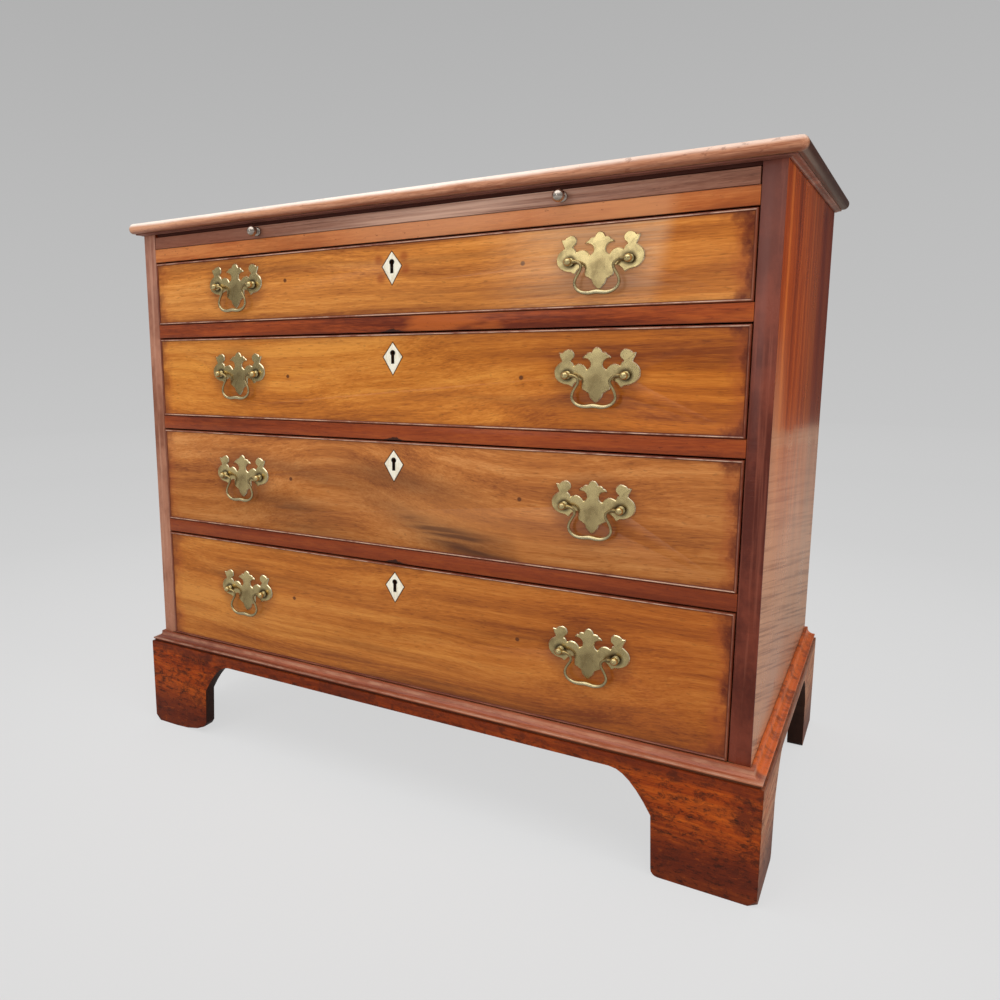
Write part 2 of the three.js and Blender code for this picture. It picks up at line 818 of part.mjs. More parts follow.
// The lining: two sides dovetailed into the front, joined by a lower back over the bottom panel.
function drawerLining(height) {
  const liningTop = runGap + height - liningDrop;
  const back = block(
    [-liningInner - fitGap, liningInner + fitGap],
    [drawerDepth - liningThickness, drawerDepth],
    [panelRise + panelThickness + fitGap, liningTop - backDrop],
  );
  const sides = [-drawerHalf, liningInner].map((x) =>
    block([x, x + liningThickness], [frontThickness + fitGap, drawerDepth], [runGap, liningTop]),
  );
  const tails = tailShapes(runGap, height - liningDrop, 0).flatMap((shape) => [
    sideways(shape, liningThickness, -drawerHalf),
    sideways(shape, liningThickness, liningInner),
  ]);
  const grooveSpan = liningInner + grooveDepth;
  const groove = block(
    [-grooveSpan, grooveSpan],
    [lapThickness, drawerDepth + cutOverrun],
    [panelRise - fitGap, panelRise + panelThickness + fitGap],
  );
  return cut(join(back, ...sides, ...tails), groove);
}

function drawerPanel() {
  const reach = liningInner + grooveDepth - fitGap;
  return block(
    [-reach, reach],
    [frontThickness - grooveDepth + fitGap, drawerDepth],
    [panelRise, panelRise + panelThickness],
  );
}

// The lock: a case in the front's back, a selvedge on its top edge, and the pin that a key turns on.
function lock(top, keyZ) {
  const span = [-lockWidth / 2, lockWidth / 2];
  const lockFace = frontThickness - lockDepth;
  return join(
    block(span, [lockFace, frontThickness], [top - lockHeight, top]),
    block(span, [frontThickness - selvedgeDepth, frontThickness], [top - selvedgeThickness, top]),
    rod(keyPinRadius, lockFace - keyPinReach, lockFace + fitGap, "y", latheSides).translate(0, 0, keyZ),
  );
}

// A handle's fixed part: the pierced-looking plate and two posts, each with a drilled round head
// in front and a nut behind the drawer front.
function handlePlate() {
  const right = plateShares.map(([x, z]) => [(x * plateWidth) / 2, (z * plateHeight) / 2]);
  const left = right.map(([x, z]) => [-x, z]).reverse();
  const outline = polygon([...right, [0, -plateHeight / 2], ...left].reverse());
  const plate = standing(outline, plateThickness, -fitGap);
  const face = -fitGap - plateThickness;
  const nutFace = frontThickness + fitGap;
  const neckAngle = Math.asin(neckRadius / headRadius);
  const head = arc([0, -pivotStandoff], [headRadius, headRadius], Math.PI / 2 - neckAngle, -Math.PI / 2, coveSteps);
  const profile = [
    [0, nutFace + nutThickness + shankTail],
    [shankRadius, nutFace + nutThickness + shankTail],
    [shankRadius, nutFace + nutThickness],
    [nutRadius, nutFace + nutThickness],
    [nutRadius, nutFace],
    [shankRadius, nutFace],
    [shankRadius, face],
    [collarRadius, face],
    [collarRadius, face - collarThickness],
    [neckRadius, face - collarThickness],
    ...head.slice(0, -1),
    [0, -pivotStandoff - headRadius],
  ];
  const points = profile.map(([r, y]) => new THREE.Vector2(r, y)).reverse();
  const half = postSpacing / 2;
  const posts = [-1, 1].map((side) => new THREE.LatheGeometry(points, latheSides).translate(side * half, 0, 0));
  const bores = [-1, 1].map((side) => {
    const [near, far] = [half - headRadius - cutOverrun, half - headRadius + pinEntry + fitGap];
    const bore = rod(pinBore, Math.min(side * near, side * far), Math.max(side * near, side * far), "x", boreSides);
    return bore.translate(0, -pivotStandoff, 0);
  });
  return cut(join(plate, ...posts), ...bores);
}

// The bail: a bent rod that swells at the grip and ends in pins held by the two posts.
function bail() {
  const half = postSpacing / 2;
  const pinEnd = half - headRadius + pinEntry;
  const right = bailShares.map(([x, z]) => new THREE.Vector3(x * half, 0, -z * bailDrop));
  const pin = [new THREE.Vector3(pinEnd, 0, 0), new THREE.Vector3(half - headRadius, 0, 0)];
  const mirror = (p) => new THREE.Vector3(-p.x, 0, p.z);
  const whole = [...pin, ...right, ...[...pin, ...right.slice(0, -1)].reverse().map(mirror)];
  const curve = new THREE.CatmullRomCurve3(whole, false, "centripetal");
  const total = curve.getLength();
  const pinShare = (pinEnd - half + headRadius) / total;
  const rings = [];
  for (let i = 0; i <= bailSteps; i++) {
    const along = i / bailSteps;
    const fromEnd = Math.min(along, 1 - along);
    const swell = THREE.MathUtils.smoothstep(fromEnd, 1 / 3, 1 / 2);
    const thick = THREE.MathUtils.smoothstep(fromEnd, pinShare, pinShare + 1 / bailSteps);
    const radius = pinRadius + (bailRadius - pinRadius) * thick + (gripRadius - bailRadius) * swell;
    const centre = curve.getPointAt(along);
    const forward = curve.getTangentAt(along);
    const out = new THREE.Vector3(forward.z, 0, -forward.x);
    const ring = [];
    for (let j = 0; j < bailSides; j++) {
      const angle = (2 * Math.PI * j) / bailSides;
      ring.push(
        new THREE.Vector3(0, radius * Math.sin(angle), 0)
          .addScaledVector(out, radius * Math.cos(angle))
          .add(centre),
      );
    }
    rings.push(ring);
  }
  return loft(rings, fan(bailSides));
}

const plateGeometry = handlePlate();
const bailGeometry = bail();

function addDrawer({ number, base, height: opening }) {
  const drawer = new THREE.Group();
  drawer.position.z = base;
  chest.add(drawer);
  const name = `drawer_${number}`;
  const height = opening - runGap - drawerTopGap;
  const top = runGap + height;
  const keyZ = top - keyDrop;
  const handleZ = runGap + height * (1 / 2 + handleRiseShare);
  place(drawer, `${name}_front`, drawerFront(height, top, keyZ, handleZ), fadedMahogany);
  place(drawer, `${name}_lining`, drawerLining(height), oak);
  place(drawer, `${name}_bottom`, drawerPanel(), oak);
  place(drawer, `${name}_lock`, lock(top, keyZ), iron, lockOffset);
  place(drawer, `${name}_escutcheon`, escutcheon(), bone, lockOffset, 0, keyZ);
  for (const [label, side] of [["left", -1], ["right", 1]]) {
    const handle = new THREE.Group();
    handle.position.set(side * handleOffset, 0, handleZ);
    drawer.add(handle);
    place(handle, `${name}_${label}_plate`, plateGeometry, brass);
    place(handle, `${name}_${label}_bail`, bailGeometry, brass, 0, -pivotStandoff);
  }
}

openings.forEach(addDrawer);

// The origin is on the floor, at the middle of the chest's width and of its full depth.
chest.position.y = -(carcaseDepth + frontmost) / 2;

export default chest;
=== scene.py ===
"""Dresses a Georgian mahogany bachelor's chest: finishes, brasses, stage, lights and camera.

Metres, +Z up, the chest's front faces -Y. Sizes follow the frame's own boxes where they can.
"""
import math
from collections import namedtuple

import bmesh
import bpy
from mathutils import Matrix, Vector


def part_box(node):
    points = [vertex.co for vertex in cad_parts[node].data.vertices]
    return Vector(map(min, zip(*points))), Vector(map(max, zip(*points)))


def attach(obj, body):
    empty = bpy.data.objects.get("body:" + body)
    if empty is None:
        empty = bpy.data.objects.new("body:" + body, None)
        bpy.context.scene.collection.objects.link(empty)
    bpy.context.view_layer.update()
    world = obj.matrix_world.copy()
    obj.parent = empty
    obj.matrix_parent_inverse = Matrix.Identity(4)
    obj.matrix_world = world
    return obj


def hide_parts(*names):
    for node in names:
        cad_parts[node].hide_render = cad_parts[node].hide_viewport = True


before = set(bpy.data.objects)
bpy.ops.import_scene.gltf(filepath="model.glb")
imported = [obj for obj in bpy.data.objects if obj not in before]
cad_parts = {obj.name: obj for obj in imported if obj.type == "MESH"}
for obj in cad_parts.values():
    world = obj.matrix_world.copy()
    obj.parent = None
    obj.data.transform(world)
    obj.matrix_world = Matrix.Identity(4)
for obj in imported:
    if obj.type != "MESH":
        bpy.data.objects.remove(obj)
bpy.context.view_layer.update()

MM = 0.001
DRAWERS = (1, 2, 3, 4)
SIDES = (("left", -1), ("right", 1))


def corners(node):
    low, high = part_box(node)
    return Vector(low), Vector(high)


FRONT_Y = corners("side_left")[0].y
FLOOR_Z = 0.0


# Colours, on a 0 to 255 scale
def srgb(red, green, blue):
    def linear(level):
        level /= 255
        return level / 12.92 if level <= 0.04045 else ((level + 0.055) / 1.055) ** 2.4

    return (linear(red), linear(green), linear(blue), 1.0)


def grey(level):
    return srgb(level, level, level)


STAIN_AND_SHADE = srgb(96, 36, 16)
SCORCH = srgb(158, 74, 30)
GRIME_AND_SHADE = srgb(24, 12, 9)
SHADE_AND_FLECK = srgb(42, 22, 14)
PLUG = srgb(92, 48, 22)
GHOST = srgb(150, 66, 26)
SMOKE = srgb(100, 58, 28)
RUBBED_AND_HIGHLIGHT = srgb(222, 186, 160)
BEAD_WOOD = srgb(124, 60, 34)
NOSING_RUB_AND_HIGHLIGHT = srgb(255, 240, 226)
PAINTED_MILKY_REFLECTION = srgb(192, 140, 106)
REFLECTION_RIPPLE = srgb(116, 68, 46)
SIDE_BACK = srgb(112, 30, 6)
SLIDE_SHEEN = srgb(224, 182, 158)
SLIDE_LEFT = srgb(138, 76, 52)
END_WOOD = srgb(62, 28, 17)
RAIL_SHEEN = srgb(214, 150, 106)
PAINTED_WINDOW_SHEEN = srgb(242, 208, 168)
COVE_SHEEN = srgb(196, 142, 112)
STILE_SHEEN = srgb(176, 124, 112)
FOOT_LOW_DARK = srgb(92, 36, 20)
BASE_BRIGHT = srgb(222, 104, 30)
BASE_SPOT = srgb(112, 46, 18)
BONE_PALE = srgb(250, 243, 222)
BONE_STREAK = srgb(232, 220, 190)
BONE_GRIME = srgb(176, 150, 110)

# A wood: its three tones, how far its lines wander, its pores, its finish and its relief
Look = namedtuple("Look", "dark middle light wander pores roughness coat shine bump")


def look(dark, middle, light, *rest):
    return Look(srgb(*dark), srgb(*middle), srgb(*light), *rest)


FRONT = look((136, 70, 24), (188, 112, 42), (218, 146, 70), 0.006, 0.8, 0.42, 0.45, 0.10, 0.4)
RAIL = look((104, 38, 14), (170, 76, 28), (208, 108, 40), 0.004, 0.8, 0.38, 0.12, 0.22, 0.5)
SLIDE_RAIL = look((136, 60, 24), (184, 98, 44), (212, 132, 70), 0.004, 0.7, 0.38, 0.12, 0.22, 0.5)
STILE_LEFT = look((136, 84, 62), (176, 120, 94), (200, 150, 124), 0.004, 0.6, 0.36, 0.2, 0.3, 0.4)
STILE_RIGHT = look((86, 34, 22), (122, 56, 38), (148, 80, 60), 0.004, 0.6, 0.36, 0.2, 0.3, 0.4)
SIDE = look((104, 32, 8), (168, 68, 18), (208, 104, 36), 0.006, 0.6, 0.30, 0.12, 0.2, 0.5)
TOP = look((158, 94, 62), (212, 150, 114), (236, 182, 144), 0.006, 0.7, 0.36, 0.2, 0.3, 0.5)
UNDER = look((92, 50, 40), (136, 84, 68), (172, 116, 96), 0.003, 0.6, 0.38, 0.15, 0.25, 0.5)
SLIDE = look((82, 44, 32), (134, 84, 64), (170, 120, 96), 0.004, 1.0, 0.42, 0.12, 0.25, 0.5)
BASE = look((104, 46, 28), (156, 80, 50), (190, 118, 82), 0.003, 0.8, 0.36, 0.2, 0.3, 0.6)
FOOT = look((90, 26, 6), (148, 57, 9), (192, 90, 22), 0.006, 1.0, 0.46, 0.0, 0.15, 1.0)
OAK = look((128, 96, 60), (164, 128, 84), (190, 156, 110), 0.006, 0.8, 0.72, 0.0, 0.3, 1.0)
PINE = look((82, 58, 36), (118, 88, 56), (148, 116, 78), 0.020, 0.5, 0.80, 0.0, 0.3, 1.0)


class Graph:
    """A node tree. Each call adds a node and gives back its output socket."""

    def __init__(self, owner):
        owner.use_nodes = True
        self.tree = owner.node_tree
        self.tree.nodes.clear()

    def node(self, kind, values=(), **settings):
        made = self.tree.nodes.new(kind)
        for name, value in settings.items():
            setattr(made, name, value)
        for key, value in dict(values).items():
            self.feed(made.inputs[key], value)
        return made

    def feed(self, socket, value):
        if isinstance(value, bpy.types.NodeSocket):
            self.tree.links.new(value, socket)
        else:
            socket.default_value = value

    def math(self, operation, a, b=0.0, c=0.0, clamp=False):
        values = {0: a, 1: b, 2: c}
        return self.node("ShaderNodeMath", values, operation=operation, use_clamp=clamp).outputs[0]

    def plus(self, a, b):
        return self.math("ADD", a, b)

    def minus(self, a, b):
        return self.math("SUBTRACT", a, b)

    def times(self, a, b, clamp=False):
        return self.math("MULTIPLY", a, b, clamp=clamp)

    def scaled(self, value, factor, offset):
        return self.math("MULTIPLY_ADD", value, factor, offset)

    def over(self, a, b, clamp=False):
        return self.math("DIVIDE", a, b, clamp=clamp)

    def larger(self, a, b):
        return self.math("MAXIMUM", a, b)

    def smaller(self, a, b):
        return self.math("MINIMUM", a, b)

    def size(self, value):
        return self.math("ABSOLUTE", value)

    def vector(self, operation, a, b):
        return self.node("ShaderNodeVectorMath", {0: a, 1: b}, operation=operation).outputs[0]

    def split(self, vector):
        return self.node("ShaderNodeSeparateXYZ", {0: vector}).outputs

    def join(self, x, y, z):
        return self.node("ShaderNodeCombineXYZ", {0: x, 1: y, 2: z}).outputs[0]

    def normal(self):
        return self.split(self.node("ShaderNodeNewGeometry").outputs["Normal"])

    def noise(self, vector, scale, detail=4.0, roughness=0.6, distortion=0.0):
        """Noise from 0 to 1. Scale is features a metre: one number, or one for each axis."""
        if not isinstance(scale, (int, float)):
            vector, scale = self.vector("MULTIPLY", vector, scale), 1.0
        values = {"Vector": vector, "Scale": scale, "Detail": detail}
        values.update({"Roughness": roughness, "Distortion": distortion})
        return self.node("ShaderNodeTexNoise", values).outputs[0]

    def ramp(self, value, low, high, low_to=0.0, high_to=1.0):
        """Maps low to high smoothly onto low_to to high_to, and holds the ends."""
        values = {0: value, 1: low, 2: high, 3: low_to, 4: high_to}
        node = self.node("ShaderNodeMapRange", values, interpolation_type="SMOOTHSTEP")
        return node.outputs[0]

    def straight(self, value, low, high, low_to=0.0, high_to=1.0):
        """Maps low to high evenly onto low_to to high_to, and holds the ends."""
        values = {0: value, 1: low, 2: high, 3: low_to, 4: high_to}
        return self.node("ShaderNodeMapRange", values).outputs[0]

    def band(self, value, middle, half, soft):
        """1 within half of the middle, and 0 past the soft edges."""
        distance = self.size(self.minus(value, middle))
        return self.ramp(distance, half, half + soft, 1.0, 0.0)

    def hill(self, value, middle, width):
        """A bell curve of height 1."""
        share = self.over(self.minus(value, middle), width)
        return self.math("EXPONENT", self.times(self.times(share, share), -1.0))

    def mix(self, share, a, b, blend="MIX"):
        node = self.node("ShaderNodeMix", data_type="RGBA", blend_type=blend)
        for key, value in ((0, share), (6, a), (7, b)):
            self.feed(node.inputs[key], value)
        return node.outputs[2]

    def bump(self, height, distance, strength=1.0):
        values = {"Height": height, "Distance": distance, "Strength": strength}
        return self.node("ShaderNodeBump", values).outputs[0]

    def add(self, *parts):
        """The sum of pairs of a value and its weight."""
        total = 0.0
        for value, weight in parts:
            total = self.scaled(value, weight, total)
        return total


class Paint(Graph):
    """A material's node tree, with one shader for its surface."""

    def __init__(self, name):
        self.material = bpy.data.materials.new(name)
        super().__init__(self.material)
        self.colour = None
        self.place = self.node("ShaderNodeTexCoord").outputs["Object"]
        self.shader = self.node("ShaderNodeBsdfPrincipled")
        surface = {"Surface": self.shader.outputs["BSDF"]}
        self.output = self.node("ShaderNodeOutputMaterial", surface)

    def lay(self, share, tone, blend="MIX"):
        """Lays a share of a tone over the wood's colour so far."""
        self.colour = self.mix(share, self.colour, tone, blend)

    def surface(self, **values):
        for name, value in values.items():
            self.feed(self.shader.inputs[name.replace("_", " ")], value)


# Wood
GRAIN_ORDER = {"X": (0, 1, 2), "Y": (1, 0, 2), "Z": (2, 0, 1)}
BOARD_STEP = (3.17, 1.31, 2.73)

# The grain's layers: features a metre along and across the board, noise detail, share of the tone
GRAIN = {
    "broad": ((1.1, 16.0, 16.0), 2.0, 0.86),
    "streak": ((1.8, 60.0, 60.0), 3.0, 0.70),
    "fibre": ((9.0, 340.0, 340.0), 3.0, 0.40),
    "thread": ((60.0, 1100.0, 1100.0), 2.0, 0.42),
}
TONE_DARK, TONE_MIDDLE, TONE_LIGHT = 0.91, 1.19, 1.47
PORE_SHADE = 0.30
WOOD_RELIEF = 0.00010
COAT_ROUGHNESS = 0.16


def timber(name, kind, grain="X", seed=0, bends=()):
    """A board's graph, with the grain's coordinates, its surface height and its dirt.

    Each bend is a place on the front (x, z), a width, a depth and a height: the figure's lines
    swell round it.
    """
    g = Paint(name)
    axes = g.split(g.place)
    board = g.join(*(axes[i] for i in GRAIN_ORDER[grain]))
    board = g.vector("ADD", board, tuple(step * seed for step in BOARD_STEP))
    drift = g.noise(board, (2.4, 7.0, 7.0), detail=2.0, roughness=0.5)
    wander = g.scaled(drift, kind.wander * 8, -kind.wander * 4)
    for x, z, width, depth, height in bends:
        swell = g.times(g.hill(axes[0], x, width), g.hill(axes[2], z, depth))
        wander = g.scaled(swell, height, wander)
    grained = g.vector("ADD", board, g.join(0.0, wander, wander))
    layers, shares = {}, []
    for layer, (scale, detail, share) in GRAIN.items():
        layers[layer] = g.noise(grained, scale, detail, roughness=0.5)
        shares.append((layers[layer], share))
    tone = g.add(*shares)
    g.colour = g.mix(g.straight(tone, TONE_DARK, TONE_MIDDLE), kind.dark, kind.middle)
    g.lay(g.straight(tone, TONE_MIDDLE, TONE_LIGHT), kind.light)
    pore = g.ramp(g.noise(grained, (95.0, 620.0, 620.0), detail=2.0, roughness=0.5), 0.60, 0.70)
    shade = g.scaled(pore, -PORE_SHADE * kind.pores, 1.0)
    g.lay(1.0, g.join(shade, shade, shade), "MULTIPLY")
    dirt = g.noise(board, (9.0, 14.0, 14.0), detail=5.0, roughness=0.65)
    height = g.add((layers["streak"], 0.3), (layers["fibre"], 0.35), (pore, -0.8))
    return g, board, height, dirt


def finish_timber(g, kind, height, dirt):
    """Gives a board its colour, polish and relief."""
    rough = g.scaled(dirt, 0.24, kind.roughness - 0.12)
    relief = g.bump(height, WOOD_RELIEF * kind.bump)
    g.surface(Base_Color=g.colour, Roughness=rough, Normal=relief)
    g.shader.inputs["Specular IOR Level"].default_value = kind.shine
    g.shader.inputs["Coat Weight"].default_value = kind.coat
    g.shader.inputs["Coat Roughness"].default_value = COAT_ROUGHNESS
    return g.material


def wood(name, kind, grain="X", seed=0):
    """Plain wood, a little dirty."""
    g, board, height, dirt = timber(name, kind, grain, seed)
    g.lay(g.ramp(dirt, 0.58, 0.74, 0.0, 0.5), kind.dark)
    return finish_timber(g, kind, height, dirt)


def inset_from(g, low, high):
    """How far a point of an upright board lies in from its ends, and from its top or bottom."""
    x, _, z = g.split(g.place)
    ends = g.smaller(g.minus(x, low.x), g.minus(high.x, x))
    edges = g.smaller(g.minus(z, low.z), g.minus(high.z, z))
    return ends, edges


def near(g, x, z, radius, soft):
    """1 within radius of a place on the front, and 0 past the soft edge."""
    offset = g.vector("SUBTRACT", g.place, (x, FRONT_Y, z))
    distance = g.node("ShaderNodeVectorMath", {0: offset}, operation="LENGTH").outputs["Value"]
    return g.ramp(distance, radius, radius + soft, 1.0, 0.0)


# The painted window reflection: where it starts and fades in, and where its right-hand edge
# lies at a height
SHEEN_START = (0.10, 0.22)
SHEEN_END = (0.316, 0.338)
SHEEN_HEIGHT = 0.74
SHEEN_SLANT = -0.16


def painted_window_sheen(g, x, z):
    """A painted window reflection right of the middle, with a slanting right-hand edge."""
    slanted = g.scaled(g.minus(z, SHEEN_HEIGHT), SHEEN_SLANT, x)
    return g.times(g.ramp(x, *SHEEN_START), g.ramp(slanted, *SHEEN_END, 1.0, 0.0))


# The chip over each keyhole, painted in shade and not cut: its middle, its width and its depth
CHIP_X = -0.002
CHIP_WIDTH = 0.011
CHIP_DEPTH = 0.0085


def rail_material(node, kind, seed, sheen=0.0, gloom=0.0, chip=True):
    """A rail: mottled orange-red, darker along its edges, with knocks and a chip by the lock
    painted in shade.
    """
    low, high = corners(node)
    g, board, height, dirt = timber(f"mahogany_{node}", kind, "X", seed)
    x, _, z = g.split(g.place)
    patch = g.noise(board, (6.0, 24.0, 24.0))
    g.lay(g.ramp(patch, 0.52, 0.68, 0.0, 0.6), kind.light)
    g.lay(g.ramp(patch, 0.34, 0.48, 0.4, 0.0), kind.dark)
    g.lay(gloom, kind.dark)
    # the slide rail's sheen is painted: a pale patch, and the painted window reflection
    if sheen:
        window = g.times(painted_window_sheen(g, x, z), 0.8)
        painted_reflection = g.larger(g.hill(x, 0.06, 0.14), window)
        g.lay(g.times(painted_reflection, sheen), RAIL_SHEEN)
    # darker along its top and bottom edges
    _, edges = inset_from(g, low, high)
    uneven = g.scaled(dirt, 0.0024, edges)
    g.lay(g.ramp(uneven, 0.0010, 0.0026, 0.5, 0.0), STAIN_AND_SHADE)
    fleck = g.noise(board, (110.0, 300.0, 300.0), detail=3.0)
    g.lay(g.ramp(fleck, 0.66, 0.72, 0.0, 0.6), STAIN_AND_SHADE)
    # the chip is not cut: its notch is painted in shade
    if chip:
        ragged = g.noise(g.place, (160.0, 160.0, 260.0), detail=3.0)
        depth = g.times(g.hill(x, CHIP_X, CHIP_WIDTH), g.times(ragged, CHIP_DEPTH))
        gap = g.minus(g.minus(z, low.z), depth)
        g.lay(g.ramp(gap, -0.0010, 0.0004, 0.9, 0.0), SHADE_AND_FLECK)
    return finish_timber(g, kind, height, dirt)


# Drawer fronts. The plugged holes of earlier handles lie this far each side of the middle.
PLUG_OFFSET = 0.168
PLUG_RADIUS = 0.0018
PLUG_RIM = 0.0016
BEAD = 0.0031
BEAD_CREST = 0.0017
DIAMOND_HALF_WIDTH = 0.0142
DIAMOND_HALF_HEIGHT = 0.0208
DIAMOND_WAIST = 0.0022
HALO = (0.048, 0.036)

# What sets each front apart: its tint, the painted light on its foot and its top, the painted
# shade it is multiplied by at the right, the height of its plugged holes, and the bends of its
# figure
Front = namedtuple("Front", "tint foot top right plug figure")
FRONTS = {
    1: Front(
        (1.14, 1.24, 1.42), 0.96, 1.22, srgb(246, 234, 216), 0.694,
        ((-0.10, 0.69, 0.30, 0.20, 0.008),),
    ),
    2: Front(
        (1.00, 0.97, 0.74), 1.08, 1.04, srgb(248, 232, 206), 0.5647,
        ((-0.20, 0.56, 0.22, 0.20, 0.018), (0.16, 0.55, 0.30, 0.20, -0.008)),
    ),
    3: Front(
        (0.90, 0.91, 1.20), 0.86, 1.18, srgb(250, 246, 240), 0.4208,
        ((-0.10, 0.44, 0.16, 0.12, -0.030), (0.12, 0.40, 0.16, 0.10, 0.020)),
    ),
    4: Front(
        (0.94, 0.89, 0.77), 0.86, 1.06, srgb(244, 226, 206), 0.2464,
        ((-0.16, 0.21, 0.20, 0.12, 0.026), (0.17, 0.19, 0.14, 0.06, 0.024)),
    ),
}
TOP_DRAWER, CLOUDED_DRAWER, BOTTOM_DRAWER = 1, 3, 4

# Marks of an earlier keyhole plate on the first front: places from the middle of the present one
GHOSTS = ((-0.019, 0.011), (0.017, 0.013), (-0.016, -0.012), (0.019, -0.002))

# Clouds on the third front: a place (x, z), a width, a depth and a share. They dip to the right
# and end at a slanting line.
CLOUDS = (
    (-0.17, 0.372, 0.09, 0.022, 0.90), (0.00, 0.434, 0.09, 0.018, 0.65),
    (-0.14, 0.430, 0.12, 0.012, 0.45), (0.100, 0.358, 0.080, 0.018, 1.30),
    (0.020, 0.384, 0.050, 0.012, 1.00),
)
CLOUD_SLOPE = 0.16
CLOUD_END = (0.300, 0.318)
CLOUD_END_SLANT = 0.4


def front_smoke(g, number, board):
    """Smoky streaks, which gather into dark clouds on the third front."""
    x, _, z = g.split(g.place)
    smoke = g.noise(board, (2.2, 30.0, 30.0), distortion=0.5)
    if number != CLOUDED_DRAWER:
        g.lay(g.ramp(smoke, 0.54, 0.72, 0.0, 0.30), SMOKE)
        return
    cloud = 0.0
    for cloud_x, cloud_z, width, depth, share in CLOUDS:
        tilted = g.scaled(g.minus(x, cloud_x), CLOUD_SLOPE, z)
        puff = g.times(g.hill(x, cloud_x, width), g.hill(tilted, cloud_z, depth))
        cloud = g.scaled(puff, share, cloud)
    cloud = g.times(cloud, g.ramp(g.scaled(z, CLOUD_END_SLANT, x), *CLOUD_END, 1.0, 0.1))
    smoke = g.times(g.ramp(smoke, 0.38, 0.54, 0.40, 1.0), cloud, clamp=True)
    g.lay(smoke, SMOKE)
    glow = g.times(g.hill(x, 0.09, 0.10), g.hill(z, 0.392, 0.020))
    g.lay(g.times(glow, 0.30), FRONT.light)


def front_tones(g, front, low, high):
    """Tints a front, paints light on it from foot to top, and painted shade deepens it to the
    right.
    """
    x, _, z = g.split(g.place)
    g.lay(1.0, (*front.tint, 1.0), "MULTIPLY")
    # painted light, from foot to top
    lift = g.straight(z, low.z, high.z, front.foot, front.top)
    g.lay(1.0, g.join(lift, lift, lift), "MULTIPLY")
    # painted shade deepens the front to the right
    deeper = g.mix(1.0, g.colour, front.right, "MULTIPLY")
    g.lay(g.ramp(x, 0.0, 0.4, 0.0, 1.0), deeper)


def front_stains(g, ends, edges):
    """Ragged dark stains along a front's ends, edges and corners, stronger to the right."""
    x = g.split(g.place)[0]
    wobble = g.noise(g.place, (34.0, 34.0, 34.0))
    wobble = g.scaled(wobble, 0.040, -0.020)
    tatter = g.noise(g.place, (150.0, 150.0, 150.0), detail=3.0)
    wobble = g.plus(wobble, g.scaled(tatter, 0.018, -0.009))
    right = g.ramp(x, -0.1, 0.3, 0.6, 0.96)
    at_ends = g.times(g.ramp(g.plus(ends, wobble), 0.002, 0.013, 1.0, 0.0), right)
    at_edges = g.ramp(g.scaled(wobble, 0.3, edges), 0.0030, 0.0085, 0.3, 0.0)
    reach = g.plus(ends, g.times(edges, 1.2))
    at_corners = g.times(g.ramp(g.scaled(wobble, 1.6, reach), 0.014, 0.036, 1.0, 0.0), right)
    stain = g.larger(at_ends, g.larger(at_edges, at_corners))
    singed = g.plus(g.smaller(ends, g.times(reach, 0.55)), wobble)
    singed = g.times(g.ramp(singed, 0.006, 0.026, 0.62, 0.0), right)
    g.lay(singed, SCORCH)
    stain = g.times(stain, g.ramp(tatter, 0.36, 0.62, 0.62, 1.0))
    g.lay(stain, STAIN_AND_SHADE)


def front_fittings(g, number):
    """Grime and painted shadow round the handles and keyhole plate, plugged holes and an old
    plate's marks.
    """
    for label, side in SIDES:
        low, high = corners(f"drawer_{number}_{label}_plate")
        offset = g.split(g.vector("SUBTRACT", g.place, tuple((low + high) / 2)))
        wide = g.over(offset[0], HALO[0])
        tall = g.over(offset[2], HALO[1])
        halo = g.plus(g.times(wide, wide), g.times(tall, tall))
        # grime and a painted shadow round each handle's plate
        g.lay(g.ramp(halo, 0.7, 1.6, 0.32, 0.0), STAIN_AND_SHADE)
        hole = near(g, side * PLUG_OFFSET, FRONTS[number].plug, PLUG_RADIUS, PLUG_RIM)
        g.lay(g.times(hole, 0.9), PLUG)
    low, high = corners(f"drawer_{number}_escutcheon")
    middle = (low + high) / 2
    across, _, up = g.split(g.vector("SUBTRACT", g.place, tuple(middle)))
    across = g.over(g.size(across), DIAMOND_HALF_WIDTH)
    rise = g.minus(up, DIAMOND_WAIST)
    above = g.over(rise, DIAMOND_HALF_HEIGHT - DIAMOND_WAIST)
    below = g.over(rise, -DIAMOND_HALF_HEIGHT - DIAMOND_WAIST)
    share = g.plus(across, g.larger(above, below))
    # grime round the keyhole plate, and black painted under it as the shade seen through the
    # keyhole
    g.lay(g.ramp(share, 1.0, 1.10, 0.85, 0.0), GRIME_AND_SHADE)
    if number == TOP_DRAWER:
        for ghost_x, ghost_z in GHOSTS:
            mark = near(g, middle.x + ghost_x, middle.z + ghost_z, 0.002, 0.007)
            g.lay(g.times(mark, 0.6), GHOST)


def front_painted_sheen(g, board, low, high):
    """The first front's painted window reflection, streaked along the grain and stronger further
    up.
    """
    x, _, z = g.split(g.place)
    streaks = g.noise(board, (3.0, 420.0, 420.0), detail=3.0)
    share = g.times(painted_window_sheen(g, x, z), g.straight(z, low.z, high.z, 0.10, 0.33))
    share = g.times(share, g.ramp(streaks, 0.35, 0.65, 0.7, 1.2))
    # the painted window reflection
    g.lay(share, PAINTED_WINDOW_SHEEN)


